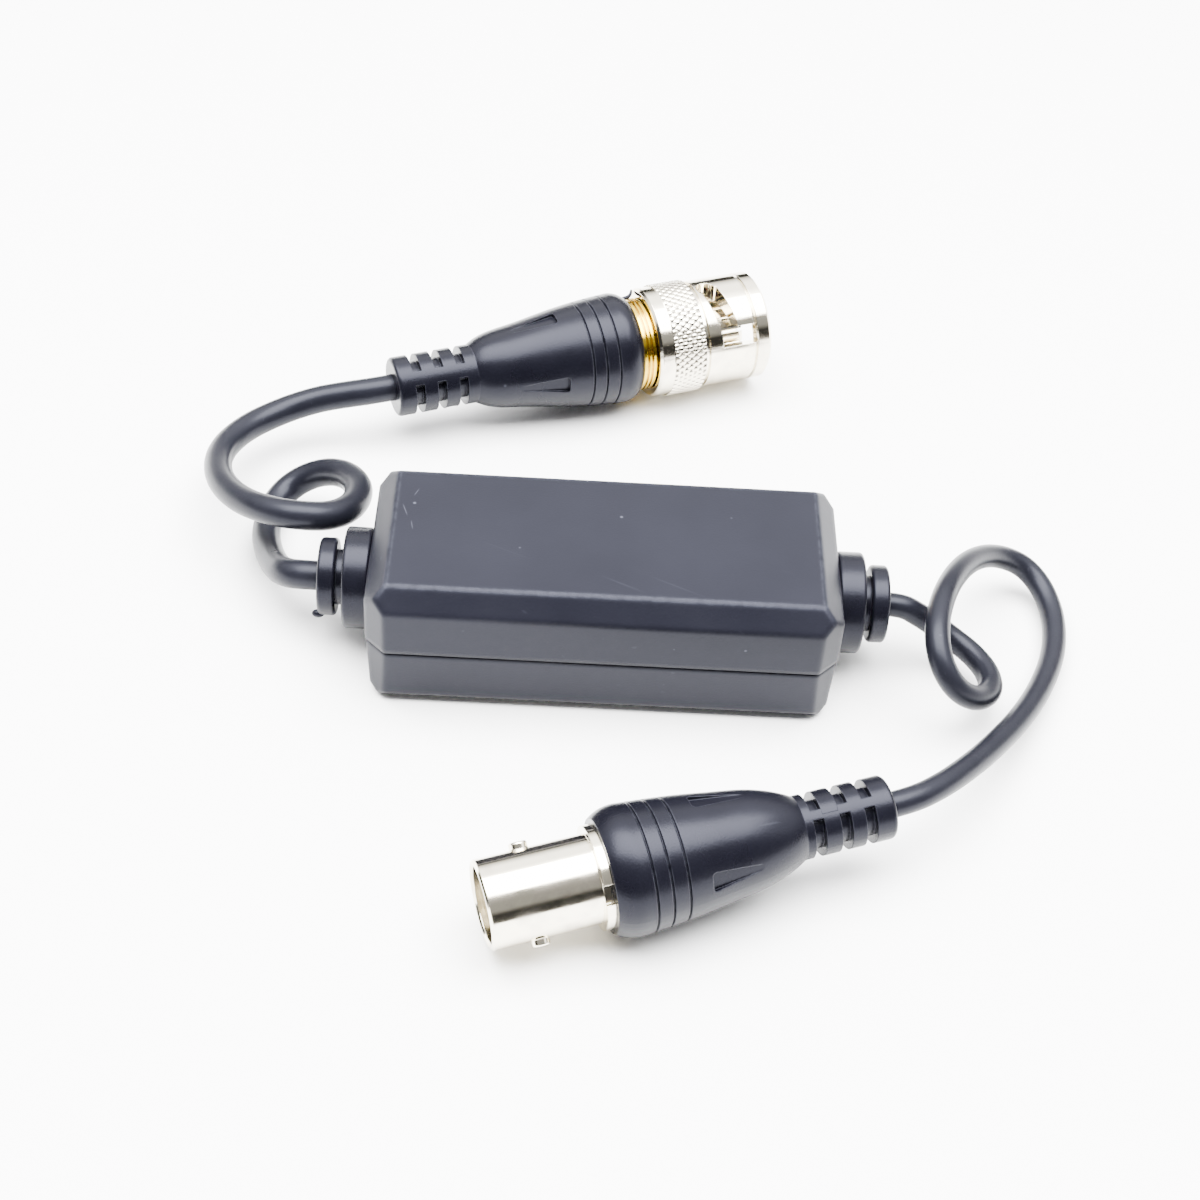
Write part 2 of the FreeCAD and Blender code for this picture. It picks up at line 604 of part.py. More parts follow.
def nut_openings():
    """Entry channel under the closed front ring, window behind the ring and cam slot, on both sides."""
    back = CAM_DEPTH_START + CHANNEL_WIDTH / 2
    channel = radial_box(CHANNEL_WIDTH, 0, CHANNEL_RADIUS, back, -1, CAM_ANGLE_START)
    channel = channel.common(ring(CHANNEL_RADIUS, 0, back, -1))
    window = radial_box(CHANNEL_WIDTH, NUT_BORE_RADIUS - 1, KNURL_RADIUS + 1, back, NUT_RING_LENGTH, CAM_ANGLE_START)
    one = fused([channel, window, cam_slot()])
    return [one, about_axis(one, 180)]


def coupling_nut():
    groove = NUT_RADIUS - NUT_GROOVE_DEPTH
    outline = [
        (NUT_RADIUS - NUT_RIM_CHAMFER, 0), (NUT_RADIUS, NUT_RIM_CHAMFER),
        (NUT_RADIUS, NUT_RING_LENGTH - NUT_GROOVE_HALF), (groove, NUT_RING_LENGTH),
        (NUT_RADIUS, NUT_RING_LENGTH + NUT_GROOVE_HALF),
        (NUT_RADIUS, KNURL_START - RELIEF_LENGTH), (groove, KNURL_START - RELIEF_LENGTH), (groove, KNURL_START),
        (KNURL_RADIUS - 0.2, KNURL_START), (KNURL_RADIUS, KNURL_START + 0.3),
        (KNURL_RADIUS, KNURL_END - 0.2), (NUT_REAR_RADIUS, KNURL_END),
        (NUT_REAR_RADIUS, NUT_LENGTH - NUT_RIM_CHAMFER), (NUT_REAR_RADIUS - NUT_RIM_CHAMFER, NUT_LENGTH),
        (BODY_NECK_RADIUS + NECK_FIT, NUT_LENGTH), (BODY_NECK_RADIUS + NECK_FIT, NUT_LENGTH - NUT_SHOULDER),
        (CAVITY_RADIUS, NUT_LENGTH - NUT_SHOULDER), (CAVITY_RADIUS, CAVITY_START),
        (NUT_BORE_RADIUS, CAVITY_START), (NUT_BORE_RADIUS, 0.3), (NUT_BORE_RADIUS + 0.3, 0),
    ]
    nut = turned(outline)
    for opening in nut_openings():
        nut = nut.cut(opening)
    return nut


def plug_body():
    """Gold-plated body: ribbed flange, neck for the nut, snap ring groove and crimp stem."""
    snap = BODY_NECK_RADIUS - SNAP_GROOVE_DEPTH
    rib = BODY_FLANGE_RADIUS - BODY_GROOVE_DEPTH
    pitch = (BODY_FLANGE_END - BODY_FLANGE_START) / BODY_RIBS
    snap_end = SNAP_GROOVE_START + SNAP_GROOVE_WIDTH
    outline = [(CONTACT_RADIUS, BODY_FRONT), (BODY_NECK_RADIUS, BODY_FRONT),
               (BODY_NECK_RADIUS, SNAP_GROOVE_START), (snap, SNAP_GROOVE_START), (snap, snap_end),
               (BODY_NECK_RADIUS, snap_end), (BODY_NECK_RADIUS, BODY_FLANGE_START),
               (BODY_FLANGE_RADIUS, BODY_FLANGE_START)]
    for index in range(1, BODY_RIBS):
        start = BODY_FLANGE_START + pitch * index - BODY_GROOVE_WIDTH / 2
        outline += [(BODY_FLANGE_RADIUS, start), (rib, start),
                    (rib, start + BODY_GROOVE_WIDTH), (BODY_FLANGE_RADIUS, start + BODY_GROOVE_WIDTH)]
    bore = CONTACT_RADIUS - CONTACT_WALL
    outline += [(BODY_FLANGE_RADIUS, BODY_FLANGE_END), (BODY_ANCHOR_RADIUS, BODY_FLANGE_END),
                (BODY_ANCHOR_RADIUS, BODY_ANCHOR_END), (STEM_RADIUS, BODY_ANCHOR_END),
                (STEM_RADIUS, BODY_ANCHOR_END + STEM_LENGTH),
                (CABLE_CORE_RADIUS + BORE_FIT, BODY_ANCHOR_END + STEM_LENGTH),
                (CABLE_CORE_RADIUS + BORE_FIT, BODY_ANCHOR_END - SOLDER_CUP_WALL),
                (bore, BODY_ANCHOR_END - SOLDER_CUP_WALL),
                (bore, CONTACT_SEAT), (CONTACT_RADIUS, CONTACT_SEAT)]
    return turned(outline)


def slotted(tube, slots, width, back, front, first_angle):
    """Saw cuts from the mouth of a contact, which make its spring fingers."""
    for index in range(slots):
        angle = first_angle + 360.0 * index / slots
        tube = tube.cut(radial_box(width, 0, 2 * CONTACT_RADIUS, back, front, angle))
    return tube


def plug_contact():
    """Outer contact sleeve pressed into the body, slotted from its mouth."""
    inner = CONTACT_RADIUS - CONTACT_WALL
    sleeve = turned([(inner, CONTACT_SEAT), (CONTACT_RADIUS, CONTACT_SEAT),
                     (CONTACT_RADIUS, CONTACT_FRONT + 0.5), (CONTACT_RADIUS - 0.25, CONTACT_FRONT),
                     (inner, CONTACT_FRONT)])
    return slotted(sleeve, CONTACT_SLOTS, CONTACT_SLOT_WIDTH, CONTACT_SLOT_END, 0, CONTACT_SLOT_ANGLE)


def plug_insulator():
    radius = CONTACT_RADIUS - CONTACT_WALL - BORE_FIT
    step = INSULATOR_FRONT + INSULATOR_STEP
    back = BODY_ANCHOR_END - SOLDER_CUP_WALL
    return turned([(PIN_CONTACT_RADIUS + BORE_FIT, INSULATOR_FRONT), (radius, INSULATOR_FRONT), (radius, back),
                   (PIN_CUP_RADIUS + BORE_FIT, back), (PIN_CUP_RADIUS + BORE_FIT, step),
                   (PIN_CONTACT_RADIUS + BORE_FIT, step)])


def pin_cup_bottom():
    return INSULATOR_FRONT + INSULATOR_STEP + PIN_CUP_STEP


def plug_pin():
    """Centre contact: tapered tip, shank, and a solder cup for the inner conductor."""
    back = BODY_ANCHOR_END - SOLDER_CUP_WALL
    step = INSULATOR_FRONT + INSULATOR_STEP
    cup = pin_cup_bottom()
    return turned([(0, PIN_TIP), (PIN_TIP_RADIUS, PIN_TIP), (PIN_CONTACT_RADIUS, PIN_TIP + PIN_TAPER),
                   (PIN_CONTACT_RADIUS, step), (PIN_CUP_RADIUS, step), (PIN_CUP_RADIUS, back),
                   (CONDUCTOR_RADIUS + BORE_FIT, back), (CONDUCTOR_RADIUS + BORE_FIT, cup), (0, cup)])


def gasket():
    return ring(GASKET_RADIUS, CONTACT_RADIUS + BORE_FIT, BODY_FRONT, BODY_FRONT - GASKET_THICKNESS)


def washer_back():
    """The sliding washer lies against the nut's inner shoulder."""
    return NUT_LENGTH - NUT_SHOULDER


def slip_washer():
    back = washer_back()
    return ring(WASHER_RADIUS, BODY_NECK_RADIUS + NECK_FIT, back, back - WASHER_THICKNESS)


def snap_ring():
    """Open ring that sits in the body's groove and holds the spring."""
    front = SNAP_GROOVE_START + LIP_CLEARANCE / 2
    back = SNAP_GROOVE_START + SNAP_GROOVE_WIDTH - LIP_CLEARANCE / 2
    inner = BODY_NECK_RADIUS - SNAP_GROOVE_DEPTH + BORE_FIT
    whole = ring(SNAP_RING_RADIUS, inner, back, front)
    width = 2 * inner * math.sin(math.radians(SNAP_RING_GAP_ANGLE / 2))
    return whole.cut(radial_box(width, 0, 2 * SNAP_RING_RADIUS, back + 1, front - 1, SNAP_RING_ANGLE))


def wave_edge(radius, middle, swing):
    """A closed smooth line that waves up and down round the axis."""
    count = SPRING_WAVES * 8
    points = [on_circle(radius, 360.0 * index / count,
                        -middle + swing * math.cos(2 * math.pi * SPRING_WAVES * index / count))
              for index in range(count)]
    curve = Part.BSplineCurve()
    curve.interpolate(Points=points, PeriodicFlag=True)
    return curve.toShape()


def wave_spring():
    """Thin waved washer between the sliding washer and the snap ring."""
    back = washer_back() - WASHER_THICKNESS
    front = SNAP_GROOVE_START + SNAP_GROOVE_WIDTH - LIP_CLEARANCE / 2
    swing = (back - front - SPRING_SHEET) / 2 - BORE_FIT
    middle = (back + front) / 2 + SPRING_SHEET / 2
    inner = wave_edge(BODY_NECK_RADIUS + 2 * NECK_FIT, middle, swing)
    outer = wave_edge(WASHER_RADIUS - 2 * NECK_FIT, middle, swing)
    return Part.makeRuledSurface(inner, outer).extrude(V(0, 0, SPRING_SHEET))


def ferrule(stem_start, cable_radius):
    """Crimped sleeve over the braid, drawn in round the jacket at its back."""
    inner = STEM_RADIUS + BORE_FIT
    outer = inner + FERRULE_WALL
    back = stem_start + STEM_LENGTH + FERRULE_OVERHANG
    neck = stem_start + STEM_LENGTH + FERRULE_NECK
    grip = cable_radius + BORE_FIT
    front = stem_start + BORE_FIT
    if grip + FERRULE_WALL < outer:
        return turned([(inner, front), (outer, front), (outer, neck), (grip + FERRULE_WALL, neck + FERRULE_TAPER),
                       (grip + FERRULE_WALL, back), (grip, back), (grip, neck + FERRULE_TAPER), (inner, neck)])
    return ring(outer, inner, back, front)


def connector_lead_end(stem_start, boot, cable_radius, conductor_front):
    """The lead inside a boot: jacket up to the stem, core through it, conductor in the contact."""
    stem_back = stem_start + STEM_LENGTH
    jacket = ring(cable_radius, 0, boot["back"], stem_back + BORE_FIT)
    core = ring(CABLE_CORE_RADIUS, 0, stem_back + 1, stem_start - 0.5)
    conductor = ring(CONDUCTOR_RADIUS, 0, stem_start, conductor_front)
    return fused([jacket, core, conductor])


# Moulded boots

def boot_curve(boot):
    """The smooth outer line from the collar to the widest station."""
    stations = [(boot["collar_front"], boot["collar_radius"])] + boot["cone"]
    stations.append((boot["widest"], boot["widest_radius"]))
    points = [V(radius, 0, -depth) for depth, radius in stations]
    curve = Part.BSplineCurve()
    curve.interpolate(Points=points)
    return curve


def boot_outer(boot):
    """Revolved outer form: rounded collar end, cone, widest ring and rounded front."""
    curve = boot_curve(boot)
    collar, back, turn = boot["collar_radius"], boot["back"], boot["collar_round"]
    start, end = curve.StartPoint, curve.EndPoint
    front_edge = V(boot["front_radius"], 0, -boot["front"])
    across, along = SHOULDER_SHARE
    shoulder = V(boot["widest_radius"] - across * (boot["widest_radius"] - boot["front_radius"]), 0,
                 -boot["front"] - along * (boot["widest"] - boot["front"]))
    back_arc = Part.Arc(V(collar - turn, 0, -back),
                        V(collar - turn * (1 - math.sqrt(0.5)), 0, -back + turn * (1 - math.sqrt(0.5))),
                        V(collar, 0, -back + turn))
    edges = [
        Part.LineSegment(V(0, 0, -back), V(collar - turn, 0, -back)).toShape(),
        back_arc.toShape(),
        Part.LineSegment(V(collar, 0, -back + turn), start).toShape(),
        curve.toShape(),
        Part.Arc(end, shoulder, front_edge).toShape(),
        Part.LineSegment(front_edge, V(0, 0, -boot["front"])).toShape(),
        Part.LineSegment(V(0, 0, -boot["front"]), V(0, 0, -back)).toShape(),
    ]
    return Part.Face(Part.Wire(edges)).revolve(V(0, 0, 0), UP, 360)


def boot_radius(boot, depth):
    """Radius of the outer line at one station."""
    curve = boot_curve(boot)
    guess = V(boot["widest_radius"], 0, -depth)
    for _ in range(6):
        point = curve.value(curve.parameter(guess))
        guess = V(point.x, 0, -depth)
    return guess.x


def boot_slots(boot):
    """Rows of cuts round the collar that let it bend, with two ribs left between them."""
    collar = boot["collar_radius"]
    half = boot["slot_width"] / 2
    cuts = []
    for station in boot["slots"]:
        row = ring(collar + 1, collar - boot["slot_depth"], station + half, station - half)
        rib = Part.makeBox(4 * collar, boot["rib_width"], 4 * half,
                           V(-2 * collar, -boot["rib_width"] / 2, -station - 2 * half))
        cuts.append(row.cut(about_axis(rib, boot["rib_angle"])))
    return cuts


def boot_grooves(boot):
    """Fine V grooves round the wide end."""
    cuts = []
    for station in boot["grooves"]:
        radius = boot_radius(boot, station) if station > boot["widest"] else boot["widest_radius"]
        cuts.append(turned([(radius - GROOVE_SIZE, station), (radius + 0.1, station - GROOVE_SIZE * 0.7),
                            (radius + 0.1, station + GROOVE_SIZE * 0.7)]))
    return cuts


def boot_recesses(boot):
    """Four thumb scoops: wide and deep towards the connector, running out to a point towards the cable."""
    length, wide = boot["recess_length"], boot["recess_half"]
    front, back = boot["recess_front"], boot["recess_front"] + boot["recess_length"]
    back_radius = boot_radius(boot, back)
    floor_rise = boot_radius(boot, front) - boot["recess_depth"] - back_radius
    tip, corner = wide * RECESS_TIP_SHARE, wide * RECESS_CORNER_SHARE
    outline = [V(0, tip, 0), V(length, wide, 0), V(length, -wide, 0), V(0, -tip, 0)]
    scoop = Part.Face(Part.makePolygon(outline + outline[:1])).extrude(V(0, 0, 3 * boot["recess_depth"] + wide))
    scoop = scoop.makeFillet(corner, [edge for edge in scoop.Edges
                                      if abs(edge.CenterOfMass.x - length) < 1e-6 and abs(edge.CenterOfMass.y) > tip])
    # The scoop lies along X with its point at the origin. It is stood up so that its floor follows the cone.
    scoop.rotate(V(0, 0, 0), V(0, 1, 0), -90)
    scoop.rotate(V(0, 0, 0), UP, 180)
    scoop.rotate(V(0, 0, 0), V(0, 1, 0), math.degrees(math.atan2(floor_rise, length)))
    scoop.translate(V(back_radius, 0, -back))
    return [about_axis(scoop, boot["angle"] + 90 * quarter) for quarter in range(4)]


def moulded_boot(boot, filling):
    """The boot with its cuts, hollow exactly where the filling lies."""
    solid = boot_outer(boot)
    cuts = boot_slots(boot) + boot_grooves(boot) + boot_recesses(boot)
    solid = solid.cut(cuts)
    return solid.cut(filling)


def plug_boot():
    stem_back = BODY_ANCHOR_END + STEM_LENGTH + FERRULE_OVERHANG
    sleeve = STEM_RADIUS + 2 * BORE_FIT + FERRULE_WALL
    filling = turned([(0, PLUG_BOOT["front"] - 1), (BODY_ANCHOR_RADIUS + BORE_FIT, PLUG_BOOT["front"] - 1),
                      (BODY_ANCHOR_RADIUS + BORE_FIT, BODY_ANCHOR_END + BORE_FIT),
                      (sleeve, BODY_ANCHOR_END + BORE_FIT), (sleeve, stem_back + BORE_FIT),
                      (PLUG_CABLE_RADIUS + BORE_FIT, stem_back + BORE_FIT),
                      (PLUG_CABLE_RADIUS + BORE_FIT, PLUG_BOOT["back"] + 1), (0, PLUG_BOOT["back"] + 1)])
    return moulded_boot(PLUG_BOOT, filling)


# Jack, on its own axis

def barrel_stem_start():
    return BARREL_LENGTH + BARREL_ANCHOR_LENGTH


def jack_barrel():
    """Nickel barrel with two bayonet lugs, a notched flange and a crimp stem."""
    stem = barrel_stem_start()
    flange = BARREL_LENGTH - BARREL_FLANGE_THICKNESS
    bore_end = stem - SOLDER_CUP_WALL
    barrel = turned([
        (BARREL_BORE_RADIUS + BARREL_RIM_CHAMFER, 0), (BARREL_RADIUS - BARREL_RIM_CHAMFER, 0),
        (BARREL_RADIUS, BARREL_RIM_CHAMFER), (BARREL_RADIUS, flange), (BARREL_FLANGE_RADIUS, flange),
        (BARREL_FLANGE_RADIUS, BARREL_LENGTH), (BARREL_ANCHOR_RADIUS, BARREL_LENGTH), (BARREL_ANCHOR_RADIUS, stem),
        (STEM_RADIUS, stem), (STEM_RADIUS, stem + STEM_LENGTH), (CABLE_CORE_RADIUS + BORE_FIT, stem + STEM_LENGTH),
        (CABLE_CORE_RADIUS + BORE_FIT, bore_end), (BARREL_BORE_RADIUS, bore_end),
        (BARREL_BORE_RADIUS, BARREL_RIM_CHAMFER)])
    for angle in (LUG_ANGLE, LUG_ANGLE + 180):
        inner = (BARREL_RADIUS + BARREL_BORE_RADIUS) / 2
        lug = Part.makeCylinder(LUG_RADIUS, LUG_REACH - inner, on_circle(inner, angle, -LUG_DEPTH), on_circle(1, angle))
        tip = max((edge for edge in lug.Edges if edge.Closed),
                  key=lambda edge: math.hypot(edge.CenterOfMass.x, edge.CenterOfMass.y))
        barrel = barrel.fuse(lug.makeFillet(LUG_ROUND, [tip]))
    notch = radial_box(BARREL_NOTCH_WIDTH, BARREL_RADIUS, BARREL_FLANGE_RADIUS + 1, BARREL_LENGTH + 0.01,
                       flange, BARREL_NOTCH_ANGLE)
    return barrel.cut([notch, about_axis(notch, 180)])


def jack_insulator():
    """Dielectric: a disc pressed in the barrel with a post round the socket contact."""
    radius = BARREL_BORE_RADIUS - BORE_FIT
    back = barrel_stem_start() - SOLDER_CUP_WALL
    return turned([(SOCKET_RADIUS + BORE_FIT, POST_FRONT), (POST_FACE_RADIUS, POST_FRONT),
                   (POST_FACE_RADIUS, SEAT_DEPTH), (radius, SEAT_DEPTH), (radius, back),
                   (SOCKET_RADIUS + BORE_FIT, back)])


def socket_cup_bottom():
    return POST_FRONT + SOCKET_INSET + SOCKET_BORE_LENGTH + SOCKET_CUP_STEP


def jack_socket():
    """Centre contact of the jack: slotted mouth in front, solder cup behind."""
    front, back = POST_FRONT + SOCKET_INSET, barrel_stem_start() - SOLDER_CUP_WALL
    bore_end, cup = front + SOCKET_BORE_LENGTH, socket_cup_bottom()
    tube = turned([(SOCKET_BORE_RADIUS, front), (SOCKET_RADIUS, front), (SOCKET_RADIUS, back),
                   (CONDUCTOR_RADIUS + BORE_FIT, back), (CONDUCTOR_RADIUS + BORE_FIT, cup), (0, cup),
                   (0, bore_end), (SOCKET_BORE_RADIUS, bore_end)])
    return slotted(tube, 4, SOCKET_SLOT_WIDTH, front + SOCKET_SLOT_LENGTH, 0, SOCKET_SLOT_ANGLE)


def jack_boot():
    stem_back = barrel_stem_start() + STEM_LENGTH + FERRULE_OVERHANG
    sleeve = STEM_RADIUS + 2 * BORE_FIT + FERRULE_WALL
    anchor = barrel_stem_start() + BORE_FIT
    filling = turned([(0, JACK_BOOT["front"] - 1), (BARREL_ANCHOR_RADIUS + BORE_FIT, JACK_BOOT["front"] - 1),
                      (BARREL_ANCHOR_RADIUS + BORE_FIT, anchor), (sleeve, anchor), (sleeve, stem_back + BORE_FIT),
                      (JACK_CABLE_RADIUS + BORE_FIT, stem_back + BORE_FIT),
                      (JACK_CABLE_RADIUS + BORE_FIT, JACK_BOOT["back"] + 1), (0, JACK_BOOT["back"] + 1)])
    return moulded_boot(JACK_BOOT, filling)


# Where things lie

def axis_direction(heading, dip):
    turn, fall = math.radians(heading), math.radians(dip)
    return V(math.cos(turn) * math.cos(fall), math.sin(turn) * math.cos(fall), -math.sin(fall))


def rim_height(widest_depth, widest_radius, dip):
    """Height of the rim centre when the widest station rests on the floor."""
    return widest_radius + FLOOR_MARGIN - widest_depth * math.sin(math.radians(dip))


def connector_frame(rim, direction):
    """Local +z goes along the direction, local +y as near to up as it can."""
    across = UP.cross(direction)
    across.normalize()
    upward = direction.cross(across)
    return FreeCAD.Placement(rim, FreeCAD.Rotation(across, upward, direction, "ZXY"))


PLUG_AXIS = axis_direction(PLUG_HEADING, PLUG_DIP)
PLUG_REST_RADIUS = max(KNURL_CREST_RADIUS, PLUG_BOOT["widest_radius"])
PLUG_RIM = V(PLUG_RIM_X, PLUG_RIM_Y, rim_height(0, PLUG_REST_RADIUS, PLUG_DIP))
JACK_AXIS = axis_direction(JACK_HEADING, JACK_DIP)
JACK_RIM = V(JACK_RIM_X, JACK_RIM_Y, rim_height(JACK_BOOT["widest"], JACK_BOOT["widest_radius"], JACK_DIP))


def at_connector(shape, rim, direction):
    copy = shape.copy()
    copy.Placement = connector_frame(rim, direction).multiply(copy.Placement)
    return copy


def cable_points(side, route, rim, direction, boot):
    """The whole route: straight out of the grommet, the chosen points, straight into the boot."""
    start = V(side * grommet_face(), 0, PARTING_HEIGHT)
    end = rim - direction * boot["back"]
    points = [start, start + V(side * EXIT_RUN, 0, 0)]
    points += [V(start.x + side * outward, y, z) for outward, y, z in route]
    return points + [end - direction * BOOT_RUN, end]


def cable_tube(points, radius, name):
    """A tube of straight runs joined by tangent arcs, each as large as its two runs allow."""
    edges, smallest, place = [], None, points[0]
    for before, corner, after in zip(points, points[1:], points[2:]):
        way_in, way_out = corner - before, after - corner
        reach = RUN_SHARE * min(way_in.Length, way_out.Length)
        bend = way_in.getAngle(way_out) / 2
        way_in.normalize()
        way_out.normalize()
        arc_start, arc_end = corner - way_in * reach, corner + way_out * reach
        bend_radius = reach / math.tan(bend)
        middle = way_out - way_in
        middle.normalize()
        arc_middle = corner + middle * (bend_radius / math.cos(bend) - bend_radius)
        edges.append(Part.LineSegment(place, arc_start).toShape())
        edges.append(Part.Arc(arc_start, arc_middle, arc_end).toShape())
        place = arc_end
        smallest = bend_radius if smallest is None else min(smallest, bend_radius)
    edges.append(Part.LineSegment(place, points[-1]).toShape())
    path = Part.Wire(edges)
    section = Part.Wire(Part.makeCircle(radius, points[0], points[1] - points[0]))
    tube = path.makePipeShell([section], True, True)
    expected = math.pi * radius ** 2 * path.Length
    print("%s: length %.1f, smallest bend %.2f, volume over section times length %.4f"
          % (name, path.Length, smallest, tube.Volume / expected))
    return tube


def sub_parts():
    """Every sub-part by name, in its place."""
    def plug(shape):
        return at_connector(shape, PLUG_RIM, PLUG_AXIS)

    def jack(shape):
        return at_connector(shape, JACK_RIM, JACK_AXIS)

    plug_stem = BODY_ANCHOR_END
    jack_stem = barrel_stem_start()
    plug_conductor = pin_cup_bottom() + CONDUCTOR_GAP
    jack_conductor = socket_cup_bottom() + CONDUCTOR_GAP
    left = cable_points(-1, LEFT_ROUTE, PLUG_RIM, PLUG_AXIS, PLUG_BOOT)
    right = cable_points(1, RIGHT_ROUTE, JACK_RIM, JACK_AXIS, JACK_BOOT)
    return {
        "upper_shell": upper_shell(),
        "lower_shell": lower_shell(),
        "left_grommet": grommet(-1, PLUG_CABLE_RADIUS),
        "right_grommet": grommet(1, JACK_CABLE_RADIUS),
        "circuit_board": circuit_board(),
        "transformer_core": transformer_core(),
        "primary_winding": winding(WINDING_MIDDLES[0]),
        "secondary_winding": winding(WINDING_MIDDLES[1]),
        "film_capacitor": film_capacitor(),
        "surge_suppressor": surge_suppressor(),
        "damping_resistor": damping_resistor(),
        "solder_joints": solder_joints(),
        "left_lead_end": housing_lead_end(-1, PLUG_CABLE_RADIUS),
        "right_lead_end": housing_lead_end(1, JACK_CABLE_RADIUS),
        "left_cable": cable_tube(left, PLUG_CABLE_RADIUS, "left_cable"),
        "right_cable": cable_tube(right, JACK_CABLE_RADIUS, "right_cable"),
        "plug_boot": plug(plug_boot()),
        "plug_body": plug(plug_body()),
        "plug_contact": plug(plug_contact()),
        "plug_insulator": plug(plug_insulator()),
        "plug_pin": plug(plug_pin()),
        "plug_gasket": plug(gasket()),
        "plug_ferrule": plug(ferrule(plug_stem, PLUG_CABLE_RADIUS)),
        "plug_lead_end": plug(connector_lead_end(plug_stem, PLUG_BOOT, PLUG_CABLE_RADIUS, plug_conductor)),
        "snap_ring": plug(snap_ring()),
        "wave_spring": plug(wave_spring()),
        "slip_washer": plug(slip_washer()),
        "coupling_nut": plug(coupling_nut()),
        "jack_boot": jack(jack_boot()),
        "jack_barrel": jack(jack_barrel()),
        "jack_insulator": jack(jack_insulator()),
        "jack_socket": jack(jack_socket()),
        "jack_ferrule": jack(ferrule(jack_stem, JACK_CABLE_RADIUS)),
        "jack_lead_end": jack(connector_lead_end(jack_stem, JACK_BOOT, JACK_CABLE_RADIUS, jack_conductor)),
    }


def main():
    os.makedirs("parts", exist_ok=True)
    for name, shape in sub_parts().items():
        solids = shape.Solids
        kept = solids[0] if len(solids) == 1 else Part.makeCompound(solids)
        kept.exportStep("parts/%s.step" % name)
        print("%-18s %2d solids, volume %9.2f, valid %s" % (name, len(solids), kept.Volume, kept.isValid()))


main()
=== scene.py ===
import bpy
import bmesh
from math import radians, sin, cos, pi
from mathutils import Vector, Matrix


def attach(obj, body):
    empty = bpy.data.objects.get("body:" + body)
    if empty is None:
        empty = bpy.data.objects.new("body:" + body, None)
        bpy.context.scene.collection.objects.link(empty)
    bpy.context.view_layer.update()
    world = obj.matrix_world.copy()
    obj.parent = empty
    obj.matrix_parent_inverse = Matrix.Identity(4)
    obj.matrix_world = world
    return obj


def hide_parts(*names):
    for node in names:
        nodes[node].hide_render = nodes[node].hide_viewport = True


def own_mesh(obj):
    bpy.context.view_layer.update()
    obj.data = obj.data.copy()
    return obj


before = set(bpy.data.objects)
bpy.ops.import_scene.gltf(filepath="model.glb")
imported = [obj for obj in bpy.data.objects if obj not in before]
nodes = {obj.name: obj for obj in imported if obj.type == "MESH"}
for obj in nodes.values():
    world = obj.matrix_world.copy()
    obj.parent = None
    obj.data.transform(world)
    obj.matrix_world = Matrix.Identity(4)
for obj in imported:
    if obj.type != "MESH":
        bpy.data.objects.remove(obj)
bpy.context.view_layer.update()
print("frame loaded")

mm = 0.001
nutBody = "nut"

# where each connector lies: rim centre in mm and the way its mouth points in degrees
plugSite = {"rim": (19.48, 55.8, 7.68), "heading": 21.1, "dip": 0.0}
jackSite = {"rim": (-11.8, -46.2, 6.277), "heading": -161.7, "dip": 3.0}


# local axes of a connector: x across, y upward, z out of its mouth
def siteMatrix(site):
    turn, dip = radians(site["heading"]), radians(site["dip"])
    mouth = Vector((cos(turn) * cos(dip), sin(turn) * cos(dip), -sin(dip)))
    across = Vector((0, 0, 1)).cross(mouth).normalized()
    upward = mouth.cross(across)
    turned = Matrix((across, upward, mouth)).transposed().to_4x4()
    return Matrix.Translation(Vector(site["rim"]) * mm) @ turned, mouth


plugPlace, plugAxis = siteMatrix(plugSite)
jackPlace, jackAxis = siteMatrix(jackSite)


# ---- small helpers for materials

def newMaterial(name):
    material = bpy.data.materials.new(name)
    material.use_nodes = True
    shader = material.node_tree.nodes["Principled BSDF"]
    return material, material.node_tree, shader


# a socket is linked, any other value is set
def feed(tree, value, socket):
    if isinstance(value, bpy.types.NodeSocket):
        tree.links.new(value, socket)
    else:
        socket.default_value = value


def startGroup(name, inputs, outputs):
    group = bpy.data.node_groups.new(name, "ShaderNodeTree")
    for label, kind, value in inputs:
        socket = group.interface.new_socket(label, in_out="INPUT", socket_type=kind)
        socket.default_value = value
    for label, kind in outputs:
        group.interface.new_socket(label, in_out="OUTPUT", socket_type=kind)
    given = group.nodes.new("NodeGroupInput").outputs
    made = group.nodes.new("NodeGroupOutput").inputs
    return group, given, made


def placeGroup(tree, group, values):
    node = tree.nodes.new("ShaderNodeGroup")
    node.node_tree = group
    for label, value in values.items():
        node.inputs[label].default_value = value
    return node.outputs


def objectPlace(tree):
    return tree.nodes.new("ShaderNodeTexCoord").outputs["Object"]


def mathNode(tree, operation, first, second, clamp=False):
    node = tree.nodes.new("ShaderNodeMath")
    node.operation = operation
    node.use_clamp = clamp
    feed(tree, first, node.inputs[0])
    feed(tree, second, node.inputs[1])
    return node.outputs[0]


def vectorNode(tree, operation, *values):
    node = tree.nodes.new("ShaderNodeVectorMath")
    node.operation = operation
    for value, socket in zip(values, node.inputs):
        feed(tree, value, socket)
    return node.outputs["Value" if operation == "DOT_PRODUCT" else "Vector"]


def splitVector(tree, vector):
    node = tree.nodes.new("ShaderNodeSeparateXYZ")
    feed(tree, vector, node.inputs["Vector"])
    return node.outputs


def turnAboutZ(tree, vector, angle):
    node = tree.nodes.new("ShaderNodeVectorRotate")
    node.rotation_type = "Z_AXIS"
    feed(tree, vector, node.inputs["Vector"])
    feed(tree, angle, node.inputs["Angle"])
    return node.outputs["Vector"]


